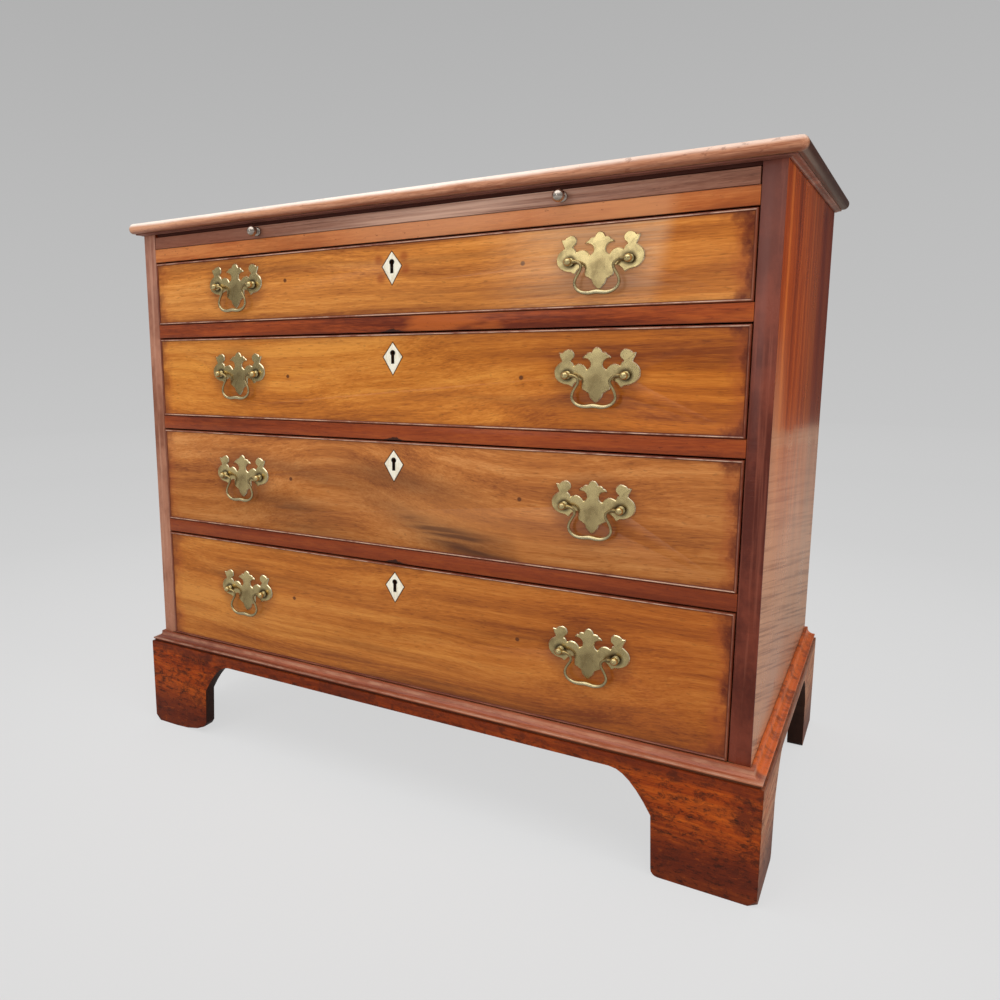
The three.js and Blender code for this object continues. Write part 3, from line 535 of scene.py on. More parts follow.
def front_bead(g, number, dirt, ends, edges, low):
    """The cock bead, with a rubbed crest painted as a highlight, and painted shade in its quirk
    and outside.
    """
    from_edge = g.smaller(ends, edges)
    bead = g.ramp(from_edge, BEAD - 0.0003, BEAD + 0.0003, 1.0, 0.0)
    g.lay(bead, g.mix(g.ramp(dirt, 0.42, 0.6), BEAD_WOOD, RAIL.dark))
    crest = g.band(from_edge, BEAD_CREST, 0.0002, 0.0006)
    rubbed = g.noise(g.place, (30.0, 30.0, 30.0), roughness=0.7)
    level = g.ramp(g.minus(ends, edges), 0.0, 0.001, 0.14, 0.85)
    if number == BOTTOM_DRAWER:
        z = g.split(g.place)[2]
        level = g.times(level, g.ramp(z, low.z + BEAD, low.z + 2 * BEAD, 0.15, 1.0))
    # the crest's rubbed wear and painted highlight, stronger on the level beads than the upright
    # ones
    crest = g.times(crest, g.times(g.ramp(rubbed, 0.34, 0.60, 0.15, 1.0), level))
    g.lay(crest, RUBBED_AND_HIGHLIGHT)
    # painted shade in the quirk and along the front's outer edge
    quirk = g.times(g.band(from_edge, BEAD, 0.0002, 0.0004), 0.35)
    outer = g.ramp(from_edge, 0.0002, 0.0006, 0.3, 0.0)
    g.lay(g.larger(quirk, outer), GRIME_AND_SHADE)


def front_material(number):
    """A drawer front: its own figure and tones, worn and stained, inside a cock bead."""
    front = FRONTS[number]
    name = f"mahogany_front_{number}"
    low, high = corners(f"drawer_{number}_front")
    g, board, height, dirt = timber(name, FRONT, "X", number, front.figure)
    ends, edges = inset_from(g, low, high)
    front_smoke(g, number, board)
    front_tones(g, front, low, high)
    front_stains(g, ends, edges)
    front_fittings(g, number)
    if number == TOP_DRAWER:
        front_painted_sheen(g, board, low, high)
    front_bead(g, number, dirt, ends, edges, low)
    return finish_timber(g, FRONT, height, dirt)


def plinth_material(name, grain, seed, outward):
    """The plinth's wood: dense dark flecks and stains, and painted shade, nearly black, in its
    cut-outs.
    """
    g, board, height, dirt = timber(name, FOOT, grain, seed)
    mottle = g.noise(g.place, (18.0, 18.0, 22.0), detail=7.0, roughness=0.68, distortion=0.4)
    fleck = g.noise(board, (70.0, 170.0, 170.0), detail=7.0, roughness=0.78)
    x, _, z = g.split(g.place)
    g.lay(g.ramp(mottle, 0.46, 0.66, 0.0, 0.90), STAIN_AND_SHADE)
    blotch = g.noise(g.place, (52.0, 52.0, 66.0), detail=7.0, roughness=0.78, distortion=0.8)
    g.lay(g.ramp(blotch, 0.50, 0.60, 0.0, 0.62), SHADE_AND_FLECK)
    # a painted milky reflection on the side boards
    if outward[0]:
        sheen = g.noise(g.place, (3.0, 14.0, 170.0))
        g.lay(g.ramp(sheen, 0.40, 0.62, 0.85, 0.40), PAINTED_MILKY_REFLECTION)
    # darker towards the bottom
    low = g.ramp(g.scaled(mottle, 0.08, z), 0.060, 0.125, 0.75, 0.0)
    g.lay(low, FOOT_LOW_DARK)
    g.lay(g.ramp(fleck, 0.52, 0.62, 0.0, 0.72), SHADE_AND_FLECK)
    g.lay(g.ramp(fleck, 0.34, 0.44, 0.30, 0.0), FOOT.light)
    # painted shade along the top, under the base moulding
    under_top = g.ramp(g.scaled(dirt, 0.006, z), 0.124, 0.132, 0.0, 0.55)
    g.lay(under_top, STAIN_AND_SHADE)
    faces = g.normal()
    facing = g.times(faces[0], outward[0])
    facing = g.scaled(faces[1], outward[1], facing)
    g.lay(g.ramp(facing, -0.8, -0.5, 1.0, 0.0), g.mix(mottle, PINE.dark, SHADE_AND_FLECK))
    # painted shade, nearly black, on the cut edges and undersides
    seen = g.larger(g.size(facing), faces[2])
    g.lay(g.ramp(seen, 0.25, 0.6, 0.95, 0.0), SHADE_AND_FLECK)
    height = g.add((height, 1.0), (mottle, 3.0), (fleck, -1.5))
    return finish_timber(g, FOOT, height, dirt)


# A side's ripples are level at this height. Below it they dip towards the back, by this share a
# metre. Its painted reflection starts at this fall below that height, under a still paler line.
RIPPLE_LEVEL = 0.6193
RIPPLE_FAN = 0.80
PALE_FALL = (0.108, 0.130)
PALE_LINE = 0.126
STILE_EDGE = (0.0008, 0.0026)


def side_material(name, stile_look, seed):
    """A carcase side: upright grain, and further down a painted milky reflection with level
    ripples.
    """
    g, board, height, dirt = timber(name, SIDE, "Z", seed)
    x, y, z = g.split(g.place)
    fan = g.scaled(g.minus(y, FRONT_Y), RIPPLE_FAN, 1.0)
    fall = g.over(g.minus(RIPPLE_LEVEL, z), fan)
    rough_fall = g.scaled(dirt, 0.020, fall)
    lower = g.ramp(rough_fall, *PALE_FALL)
    deep = g.ramp(rough_fall, 0.12, 0.32, 0.24, 0.92)
    ripple = g.noise(g.join(x, y, fall), (3.0, 2.5, 300.0))
    g.lay(g.ramp(y, -0.05, 0.24, 0.0, 0.75), SIDE_BACK)
    # a painted milky reflection near the front, below the top
    by_front = g.ramp(y, -0.25, -0.12, 0.5, 0.0)
    by_front = g.times(by_front, g.ramp(z, 0.50, 0.66, 1.0, 0.0))
    g.lay(by_front, PAINTED_MILKY_REFLECTION)
    # the painted milky reflection lower down, with darker painted ripples
    painted_reflection = g.mix(g.ramp(ripple, 0.46, 0.66, 0.0, 0.7), PAINTED_MILKY_REFLECTION, REFLECTION_RIPPLE)
    g.lay(g.times(lower, deep), painted_reflection)
    # a still paler painted line at its top
    line = g.band(rough_fall, PALE_LINE, 0.004, 0.008)
    g.lay(g.times(line, 0.30), PAINTED_MILKY_REFLECTION)
    edge = g.ramp(g.minus(y, FRONT_Y), *STILE_EDGE, 1.0, 0.0)
    stile = g.mix(g.ramp(dirt, 0.40, 0.62), stile_look.middle, stile_look.dark)
    streak = g.noise(board, (5.0, 160.0, 160.0), detail=3.0)
    stile = g.mix(g.ramp(streak, 0.50, 0.68, 0.0, 0.5), stile, stile_look.light)
    # a painted sheen, paler towards the top of the stile
    stile = g.mix(g.ramp(z, 0.45, 0.76, 0.0, 0.18), stile, STILE_SHEEN)
    g.lay(edge, stile)
    height = g.add((height, 1.0), (g.times(ripple, lower), 9.0))
    return finish_timber(g, SIDE, height, dirt)


def top_material():
    """The top: its nosing is rubbed pale and painted with a highlight above, and with shade below.
    """
    low, high = corners("top_board")
    g, board, height, dirt = timber("mahogany_top", TOP, "X", 3)
    x, y, z = g.split(g.place)
    ends = g.smaller(g.minus(x, low.x), g.minus(high.x, x))
    rim = g.ramp(g.smaller(ends, g.minus(y, low.y)), 0.006, 0.010, 1.0, 0.0)
    uneven = g.noise(g.place, (16.0, 16.0, 40.0), detail=5.0, roughness=0.65)
    uneven_z = g.scaled(uneven, 0.004, z)
    # rubbed wear and a painted highlight along the nosing's upper edge, weaker to the right
    crown = g.ramp(uneven_z, high.z - 0.0052, high.z + 0.0004)
    crown = g.times(crown, g.ramp(x, 0.05, 0.40, 0.95, 0.5))
    g.lay(g.times(crown, rim), NOSING_RUB_AND_HIGHLIGHT)
    # painted shade along the nosing's lower edge, which faces down
    belly = g.ramp(uneven_z, low.z + 0.0030, low.z + 0.0070, 0.55, 0.0)
    g.lay(g.times(belly, rim), STAIN_AND_SHADE)
    knock = g.noise(g.place, (90.0, 90.0, 160.0), roughness=0.65)
    knock = g.times(g.ramp(knock, 0.60, 0.68), g.ramp(x, 0.1, 0.3, 0.2, 0.4))
    g.lay(g.times(knock, rim), STAIN_AND_SHADE)
    right_end = g.ramp(x, high.x - 0.014, high.x - 0.007)
    right_end = g.times(right_end, g.ramp(y, low.y + 0.002, low.y + 0.014))
    g.lay(g.times(right_end, 0.95), END_WOOD)
    return finish_timber(g, TOP, height, dirt)


# Heights on the base moulding: its hollow and the lip under it, both with a painted highlight, and
# the lip's lower edge, with painted shade under it
HOLLOW_Z = 0.1478
LIP_Z = 0.1414
LIP_FOOT_Z = (0.1388, 0.1396)


def base_material():
    """The base moulding: a hollow with a painted highlight over a dark lip, brighter round the
    sides.
    """
    g, board, height, dirt = timber("mahogany_base", BASE, "X", 6)
    x, y, z = g.split(g.place)
    mottle = g.noise(g.place, (30.0, 30.0, 60.0), detail=5.0, roughness=0.65)
    # a painted highlight along the hollow
    sheen = g.band(z, HOLLOW_Z, 0.0010, 0.0022)
    sheen = g.times(sheen, g.ramp(mottle, 0.34, 0.62, 0.66, 0.20))
    g.lay(sheen, COVE_SHEEN)
    # a thin painted highlight along the lip
    lip = g.band(z, LIP_Z, 0.0002, 0.0006)
    lip = g.times(lip, g.ramp(mottle, 0.36, 0.60, 0.1, 0.5))
    g.lay(lip, RUBBED_AND_HIGHLIGHT)
    beside = g.ramp(y, FRONT_Y + 0.004, FRONT_Y + 0.016)
    spots = g.noise(g.place, (38.0, 38.0, 60.0), detail=6.0, roughness=0.7)
    bright = g.mix(g.ramp(spots, 0.46, 0.66, 0.0, 0.8), BASE_BRIGHT, BASE_SPOT)
    g.lay(g.times(beside, 0.9), bright)
    # painted shade under the lip
    sunk = g.ramp(z, *LIP_FOOT_Z, 0.75, 0.0)
    g.lay(sunk, SHADE_AND_FLECK)
    return finish_timber(g, BASE, height, dirt)


def slide_material():
    """The slide: streaky violet-brown, with a painted sheen right of its middle."""
    g, board, height, dirt = timber("mahogany_slide", SLIDE, "X", 16)
    x = g.split(g.place)[0]
    streak = g.noise(board, (4.0, 260.0, 260.0))
    # a painted sheen right of the middle
    sheen = g.times(g.hill(x, 0.06, 0.18), g.ramp(streak, 0.36, 0.60, 1.0, 0.35))
    g.lay(g.ramp(x, -0.34, -0.10, 0.6, 0.0), SLIDE_LEFT)
    g.lay(g.times(sheen, 0.8), SLIDE_SHEEN)
    g.lay(g.ramp(streak, 0.56, 0.70, 0.0, 0.6), SLIDE.dark)
    return finish_timber(g, SLIDE, height, dirt)


def kicker_material():
    """The frame over the slide: pine, but for its polished front strip, painted dark as shade
    under the top.
    """
    g, board, height, dirt = timber("pine_kicker", PINE, "X", 18)
    y = g.split(g.place)[1]
    # the front strip is painted dark as shade under the top's overhang
    strip = g.ramp(y, FRONT_Y + 0.020, FRONT_Y + 0.030, 1.0, 0.0)
    g.lay(strip, UNDER.dark)
    return finish_timber(g, PINE, height, dirt)


# Metals and bone. The keyhole's sizes include the dirt and the painted keyhole shade round it.
KEY_RISE = 0.0072
KEY_RADIUS = 0.0035
KEY_SLOT_HALF = 0.0021
KEY_LENGTH = 0.0134

METAL_RELIEF = 0.00005
BONE_RELIEF = 0.00005


def metal(name, colour, tarnish, roughness, shine=None, posts=False, relief=METAL_RELIEF):
    """Old metal: clouded and spotted with tarnish, and bright where the mesh says it is rubbed."""
    g = Paint(name)
    cloud = g.noise(g.place, 60.0)
    spots = g.noise(g.place, 420.0, roughness=0.7)
    brushed = g.noise(g.place, (300.0, 300.0, 1800.0), detail=2.0, roughness=0.5)
    tone = g.mix(g.ramp(cloud, 0.42, 0.70, 0.0, 0.50), colour, tarnish)
    tone = g.mix(g.ramp(spots, 0.62, 0.74, 0.0, 0.6), tone, tarnish)
    if posts:
        # the plate's middle is darkened with painted shade, and painted shadow lies round its two
        # posts
        x, _, z = g.split(g.place)
        painted_middle_shade = g.times(g.hill(x, 0.0, 0.011), g.ramp(z, -0.004, 0.014, 0.45, 0.0))
        tone = g.mix(painted_middle_shade, tone, tarnish)
        across = g.minus(g.size(x), POST_HALF * MM)
        away = g.node("ShaderNodeVectorMath", {0: g.join(across, 0.0, z)}, operation="LENGTH")
        on_plate = g.ramp(g.split(g.place)[1], -0.0040, -0.0024)
        ring = g.ramp(away.outputs["Value"], 0.0050, 0.0100, 0.85, 0.0)
        tone = g.mix(g.times(ring, on_plate), tone, SHADE_AND_FLECK)
    if shine:
        rub = g.node("ShaderNodeAttribute", attribute_name="rub").outputs["Fac"]
        tone = g.mix(g.times(rub, 0.85), tone, shine)
    rough = g.scaled(cloud, 0.2, roughness - 0.10)
    swell = g.noise(g.place, 45.0, detail=1.0, roughness=0.5)
    height = g.add((swell, 1.0), (spots, 0.01), (brushed, 0.01))
    g.surface(Base_Color=tone, Roughness=rough, Normal=g.bump(height, relief))
    g.shader.inputs["Metallic"].default_value = 1.0
    return g.material


def bone_material(number):
    """Bone, with dirt and painted shade round the keyhole of one drawer."""
    g = Paint(f"bone_{number}")
    streak = g.noise(g.place, (420.0, 420.0, 60.0))
    cloud = g.noise(g.place, 90.0, detail=3.0, roughness=0.5)
    colour = g.mix(g.ramp(streak, 0.42, 0.66, 0.0, 0.8), BONE_PALE, BONE_STREAK)
    colour = g.mix(g.ramp(cloud, 0.55, 0.75, 0.0, 0.3), colour, BONE_GRIME)
    low, high = corners(f"drawer_{number}_escutcheon")
    hole_x, hole_z = (low.x + high.x) / 2, (low.z + high.z) / 2 + KEY_RISE
    ring = near(g, hole_x, hole_z, KEY_RADIUS, 0.0005)
    x, _, z = g.split(g.place)
    slot = g.band(x, hole_x, KEY_SLOT_HALF, 0.0005)
    slot = g.times(slot, g.band(z, hole_z - KEY_LENGTH / 2, KEY_LENGTH / 2, 0.0005))
    # dirt and painted shade widen the dark keyhole
    colour = g.mix(g.larger(ring, slot), colour, GRIME_AND_SHADE)
    g.surface(Base_Color=colour, Roughness=g.scaled(cloud, 0.2, 0.28))
    g.surface(Normal=g.bump(streak, BONE_RELIEF))
    return g.material


# The carried-over solids: each gets a material, softened arrises and smooth shading on its curves
def smoothing(angle):
    """A node group that smooths faces and keeps edges sharper than the angle."""
    tree = bpy.data.node_groups.new("smooth_by_angle", "GeometryNodeTree")
    for way in ("INPUT", "OUTPUT"):
        tree.interface.new_socket("Geometry", in_out=way, socket_type="NodeSocketGeometry")
    entry = tree.nodes.new("NodeGroupInput")
    leave = tree.nodes.new("NodeGroupOutput")
    faces = tree.nodes.new("GeometryNodeSetShadeSmooth")
    edges = tree.nodes.new("GeometryNodeSetShadeSmooth")
    edges.domain = "EDGE"
    edges.inputs["Shade Smooth"].default_value = False
    angles = tree.nodes.new("GeometryNodeInputMeshEdgeAngle")
    sharp = tree.nodes.new("FunctionNodeCompare")
    sharp.operation = "GREATER_THAN"
    sharp.inputs[1].default_value = angle
    link = tree.links.new
    link(entry.outputs[0], faces.inputs["Geometry"])
    link(faces.outputs[0], edges.inputs["Geometry"])
    link(angles.outputs[0], sharp.inputs[0])
    link(sharp.outputs[0], edges.inputs["Selection"])
    link(edges.outputs[0], leave.inputs[0])
    return tree


SMOOTH = smoothing(math.radians(29))
SHARP = math.radians(32)
WELD = 0.00001

# How far arrises are rounded
BONE_ARRIS = 0.0002
CRISP_ARRIS = 0.0003
RAIL_ARRIS = 0.0004
PLAIN_ARRIS = 0.0005
SIDE_ARRIS = 0.0009
FOOT_ARRIS = 0.0022


def dress(node, material, arris=PLAIN_ARRIS):
    """Puts a material on a solid and rounds its sharp edges by arris."""
    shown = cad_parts[node]
    shown.data.materials.clear()
    shown.data.materials.append(material)
    weld = shown.modifiers.new("weld", "WELD")
    weld.merge_threshold = WELD
    bevel = shown.modifiers.new("arris", "BEVEL")
    bevel.width = arris
    bevel.segments = 2
    bevel.limit_method = "ANGLE"
    bevel.angle_limit = SHARP
    smooth = shown.modifiers.new("smooth", "NODES")
    smooth.node_group = SMOOTH


# How far each rail is darkened
RAIL_GLOOM = {1: 0.05, 2: 0.35, 3: 0.6}

# The plinth's boards: node, grain, seed and which way (x, y) their faces look
PLINTH = (
    ("plinth_front", "X", 7, (0, -1)), ("plinth_left", "Y", 8, (-1, 0)),
    ("plinth_right", "Y", 9, (1, 0)),
)


def dress_carcase():
    for label, stile_look, seed in (("left", STILE_LEFT, 1), ("right", STILE_RIGHT, 2)):
        material = side_material(f"mahogany_side_{label}", stile_look, seed)
        dress(f"side_{label}", material, SIDE_ARRIS)
    dress("top_board", top_material(), RAIL_ARRIS)
    dress("top_moulding", wood("mahogany_under_top", UNDER, "X", 4), CRISP_ARRIS)
    slide_rail = rail_material("slide_rail", SLIDE_RAIL, 5, sheen=0.6, chip=False)
    dress("slide_rail", slide_rail, RAIL_ARRIS)
    dress("base_moulding", base_material(), CRISP_ARRIS)
    for part, grain, seed, outward in PLINTH:
        material = plinth_material(f"mahogany_{part}", grain, seed, outward)
        dress(part, material, FOOT_ARRIS)
    pine_along = wood("pine_along", PINE, "X", 10)
    pine_upright = wood("pine_upright", PINE, "Z", 11)
    for node in ("bottom_board", "slide_dustboard"):
        dress(node, pine_along)
    dress("kicker_frame", kicker_material(), CRISP_ARRIS)
    for node in ("back_board", "back_bracket_left", "back_bracket_right"):
        dress(node, pine_upright)
    for number in DRAWERS[:-1]:
        rail = rail_material(f"rail_{number}", RAIL, 12 + number, gloom=RAIL_GLOOM[number])
        dress(f"rail_{number}", rail, RAIL_ARRIS)
        dress(f"dustboard_{number}", pine_along)
    dress("slide_board", slide_material(), RAIL_ARRIS)


def dress_drawers():
    oak_sides = wood("oak_sides", OAK, "Y", 20)
    oak_bottom = wood("oak_bottom", OAK, "Y", 21)
    iron = metal("lock_iron", srgb(92, 84, 76), srgb(70, 44, 30), 0.5)
    for number in DRAWERS:
        dress(f"drawer_{number}_front", front_material(number), CRISP_ARRIS)
        dress(f"drawer_{number}_lining", oak_sides)
        dress(f"drawer_{number}_bottom", oak_bottom)
        dress(f"drawer_{number}_lock", iron, CRISP_ARRIS)
        dress(f"drawer_{number}_escutcheon", bone_material(number), BONE_ARRIS)


# Handles. Sizes are in millimetres and become metres as the meshes are made.
PLATE_BACK = 0.3
PLATE_EDGE = 0.8
PLATE_FACE = 1.9
PLATE_CHAMFER = 0.9
POST_HALF = 32.0
PIVOT = 9.5
BAIL_DROP = 34.3
NUT_FACE = 20.3
CURVE_STEPS = 3
POST_FACETS = 24
BAIL_FACETS = 16
KNOB_FACETS = 32
BAIL_RUB = 0.55

# Brasses: colour, tarnish, roughness and the colour of rubbed places
BRASS = (srgb(224, 202, 144), srgb(122, 98, 64), 0.26, srgb(255, 248, 218))
BAIL_BRASS = (srgb(168, 144, 92), srgb(84, 64, 40), 0.26, srgb(255, 244, 204))
KNOB_BRASS = (srgb(196, 184, 172), srgb(96, 80, 70), 0.26)
BRASS_RELIEF = 0.00040

# Half of the plate's outline, across and up from its middle, from the crest round to the lower
# tip. A third value marks a corner; the rest of the outline curves.
PLATE_OUTLINE = (
    (0.0, 30.8), (2.2, 30.2), (4.3, 28.4), (5.4, 26.3), (6.0, 25.2, 1), (8.0, 25.2), (10.4, 24.4),
    (11.6, 22.9), (12.0, 22.2, 1), (13.4, 21.8), (15.0, 20.4), (15.9, 18.7, 1), (13.0, 18.3),
    (9.8, 17.3), (7.6, 15.2), (6.7, 12.6), (7.0, 9.8), (8.4, 7.8), (10.6, 6.3, 1), (11.7, 8.2),
    (13.6, 10.4), (16.6, 12.1), (20.0, 12.5), (23.0, 11.6), (25.2, 10.4, 1), (25.9, 12.4),
    (27.4, 14.6, 1), (28.8, 15.2), (28.2, 16.8), (26.3, 18.4), (24.9, 21.2), (25.2, 24.4),
    (27.2, 27.2), (30.0, 28.6), (33.6, 28.1), (36.8, 26.6), (38.2, 24.9, 1), (40.0, 24.7),
    (42.2, 25.0, 1), (41.7, 22.4), (40.8, 19.8), (39.4, 17.2), (38.9, 15.0, 1), (41.6, 13.0),
    (44.9, 9.9), (46.9, 5.8), (47.2, 1.4), (46.2, -2.6), (43.6, -6.2), (39.8, -9.0), (35.4, -10.5),
    (30.8, -11.2, 1), (28.9, -12.6), (26.5, -13.6, 1), (25.0, -11.2), (22.6, -8.4), (19.0, -6.4),
    (16.2, -6.2, 1), (15.6, -9.0), (15.9, -12.4), (15.2, -15.6, 1), (13.6, -17.0),
    (11.4, -17.9, 1), (10.6, -19.0), (8.6, -19.8, 1), (7.6, -21.4), (7.2, -23.2, 1), (6.2, -25.2),
    (4.3, -27.2, 1), (2.2, -29.6), (0.0, -30.8, 1),
)

# Half of the bail, from the post to the middle of its grip: across as a share of half the post
# spacing, down as a share of the drop.
BAIL_SHARES = (
    (0.97, 0.0), (0.86, 0.0), (0.74, 0.005), (0.62, 0.05), (0.545, 0.14), (0.555, 0.26),
    (0.64, 0.40), (0.72, 0.55), (0.745, 0.69), (0.70, 0.82), (0.59, 0.925), (0.44, 0.985),
    (0.28, 1.0), (0.14, 0.985), (0.0, 0.97),
)

# How thick the bail is from the post to the middle of its grip: share of the way, radius
BAIL_RADII = (
    (0.0, 1.3), (0.06, 1.3), (0.075, 2.2), (0.11, 2.4), (0.16, 1.7), (0.22, 1.55), (0.42, 1.6),
    (0.62, 1.75), (0.78, 2.1), (0.90, 2.5), (1.0, 2.6),
)

# A post, from its front to behind the nut: radius and how far in front of the drawer's face
POST = (
    (0.0, 14.1), (1.3, 13.9), (2.9, 13.2), (3.9, 12.0), (4.4, 10.4), (4.4, 8.8), (3.9, 7.2),
    (3.1, 6.2), (2.5, 5.7), (3.0, 5.3), (3.2, 4.9), (3.0, 4.5), (2.5, 4.2), (3.0, 3.7), (4.2, 3.3),
    (4.8, 2.8), (4.8, 2.2), (4.6, 1.8), (2.3, 1.6), (2.3, -NUT_FACE), (5.0, -NUT_FACE),
    (5.0, -NUT_FACE - 2.4), (4.4, -NUT_FACE - 2.8), (2.3, -NUT_FACE - 2.9), (2.3, -NUT_FACE - 4.4),
    (1.7, -NUT_FACE - 4.9), (0.0, -NUT_FACE - 4.9),
)

# A slide's knob: radius and how far in front of the slide's edge
KNOB = (
    (0.0, 20.0), (2.2, 19.65), (4.4, 18.4), (6.1, 16.4), (6.9, 14.2), (7.0, 12.4), (6.5, 10.4),
    (5.2, 8.4), (3.6, 7.1), (2.9, 6.2), (2.8, 4.4), (3.2, 3.4), (4.6, 3.0), (5.8, 2.6), (6.1, 1.9),
    (6.0, 0.4), (1.8, 0.3), (1.8, -13.8), (0.0, -13.8),
)


def catmull(a, b, c, d, t):
    """A point between b and c on the smooth curve through four points."""
    square = (2 * a - 5 * b + 4 * c - d) * t * t
    cube = (3 * b - a - 3 * c + d) * t ** 3
    return 0.5 * (2 * b + (c - a) * t + square + cube)


def rounded(points, marked):
    """The points with curves through them, broken at the marked corners."""
    made = []
    for i in range(len(points) - 1):
        before = points[i - 1] if i > 0 and not marked[i] else points[i]
        last = i + 2 < len(points) and not marked[i + 1]
        after = points[i + 2] if last else points[i + 1]
        for step in range(CURVE_STEPS):
            made.append(catmull(before, points[i], points[i + 1], after, step / CURVE_STEPS))
    made.append(points[-1])
    return made


def between(table, place):
    """Reads a table of pairs at a place, straight from one row to the next."""
    for (a, first), (b, second) in zip(table, table[1:]):
        if place <= b:
            return first + (second - first) * (place - a) / (b - a)
    return table[-1][1]


def finished(bm, name):
    """The mesh of a finished bmesh, its faces turned outwards."""
    bmesh.ops.recalc_face_normals(bm, faces=bm.faces)
    mesh = bpy.data.meshes.new(name)
    bm.to_mesh(mesh)
    bm.free()
    return mesh


def link(name, mesh, material, body=None, nodes=(), at=(0, 0, 0), slot=None):
    """Sets a mesh in the scene and ties it to its body and the solids it replaces; its slot is not
    used.
    """
    made = bpy.data.objects.new(name, mesh)
    bpy.context.scene.collection.objects.link(made)
    made.location = at
    if not mesh.materials:
        mesh.materials.append(material)
    if body:
        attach(made, body)
    if nodes:
        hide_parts(*nodes)
    return made


def turned(bm, profile, x, z, sides):
    """Adds a solid turned about a line along y, of radii and forward reaches in millimetres."""
    rings = []
    for radius, forward in profile:
        if radius == 0:
            rings.append([bm.verts.new((x * MM, -forward * MM, z * MM))])
            continue
        ring = []
        for i in range(sides):
            angle = 2 * math.pi * i / sides
            across = (x + radius * math.cos(angle)) * MM
            up = (z + radius * math.sin(angle)) * MM
            ring.append(bm.verts.new((across, -forward * MM, up)))
        rings.append(ring)
    for first, second in zip(rings, rings[1:]):
        bridge(bm, first, second)


def bridge(bm, first, second):
    """Joins two rings of vertices, either of which may be a single point."""
    count = max(len(first), len(second))
    for i in range(count):
        j = (i + 1) % count
        if len(first) == 1:
            bm.faces.new((first[0], second[j], second[i]))
        elif len(second) == 1:
            bm.faces.new((first[i], first[j], second[0]))
        else:
            bm.faces.new((first[i], first[j], second[j], second[i]))


def smooth_faces(bm, angle):
    """Shades curves smooth and keeps edges sharper than the angle."""
    for face in bm.faces:
        face.smooth = True
    for edge in bm.edges:
        edge.smooth = len(edge.link_faces) == 2 and edge.calc_face_angle(0.0) < angle


def plate_mesh():
    """The handle's plate with its chamfered edge, and two turned posts with their nuts."""
    bm = bmesh.new()
    rub = bm.verts.layers.float.new("rub")
    marked = [len(p) == 3 for p in PLATE_OUTLINE]
    half = rounded([Vector(p[:2]) for p in PLATE_OUTLINE], marked)
    outline = half + [Vector((-p.x, p.y)) for p in reversed(half[1:-1])]
    outline = [(p.x * MM, p.y * MM) for p in outline]
    back = [bm.verts.new((x, -PLATE_BACK * MM, z)) for x, z in outline]
    edge = [bm.verts.new((x, -PLATE_EDGE * MM, z)) for x, z in outline]
    bridge(bm, back, edge)
    bm.faces.new(back)
    front = bm.faces.new(list(reversed(edge)))
    bmesh.ops.recalc_face_normals(bm, faces=bm.faces)
    lift = (PLATE_FACE - PLATE_EDGE) * MM
    chamfer = PLATE_CHAMFER * MM
    bmesh.ops.inset_region(bm, faces=[front], thickness=chamfer, depth=lift, use_even_offset=True)
    for vert in bm.verts:
        vert[rub] = 1.0 if abs(vert.co.y + PLATE_EDGE * MM) < 0.0002 else 0.0
    for _, side in SIDES:
        turned(bm, POST, side * POST_HALF, 0, POST_FACETS)
    smooth_faces(bm, math.radians(28))
    return finished(bm, "handle_plate")


def bail_mesh():
    """The swan-necked bail: a round bar with knuckles at its pins that swells at the grip."""
    half = [Vector((x * POST_HALF, 0, -z * BAIL_DROP)) for x, z in BAIL_SHARES]
    whole = half + [Vector((-p.x, 0, p.z)) for p in reversed(half[:-1])]
    path = rounded(whole, [0] * len(whole))
    bm = bmesh.new()
    rub = bm.verts.layers.float.new("rub")
    rings = []
    for i, centre in enumerate(path):
        share = min(i, len(path) - 1 - i) / ((len(path) - 1) / 2)
        ahead = path[min(i + 1, len(path) - 1)] - path[max(i - 1, 0)]
        ahead.normalize()
        out = Vector((ahead.z, 0, -ahead.x))
        radius = between(BAIL_RADII, share)
        ring = []
        for j in range(BAIL_FACETS):
            angle = 2 * math.pi * j / BAIL_FACETS
            aside = out * (radius * math.cos(angle))
            point = centre + aside + Vector((0, radius * math.sin(angle), 0))
            vert = bm.verts.new(point * MM)
            vert[rub] = BAIL_RUB * max(0.0, -math.sin(angle)) * share
            ring.append(vert)
        rings.append(ring)
    for first, second in zip(rings, rings[1:]):
        bridge(bm, first, second)
    bm.faces.new(rings[0])
    bm.faces.new(rings[-1])
    bmesh.ops.recalc_face_normals(bm, faces=bm.faces)
    smooth_faces(bm, math.radians(50))
    return finished(bm, "handle_bail")


def fit_handles():
    brass = metal("brass", *BRASS, posts=True, relief=BRASS_RELIEF)
    dark_brass = metal("bail_brass", *BAIL_BRASS)
    plate = plate_mesh()
    bail = bail_mesh()
    for number in DRAWERS:
        drawer = f"drawer_{number}"
        for label, _ in SIDES:
            plate_node, bail_node = f"{drawer}_{label}_plate", f"{drawer}_{label}_bail"
            low, high = corners(plate_node)
            at = ((low.x + high.x) / 2, FRONT_Y, (low.z + high.z) / 2)
            hinge = (at[0], FRONT_Y - PIVOT * MM, at[2])
            link(f"{plate_node}_fine", plate, brass, drawer, [plate_node], at, "brass")
            link(f"{bail_node}_fine", bail, dark_brass, bail_node, [bail_node], hinge, "brass")


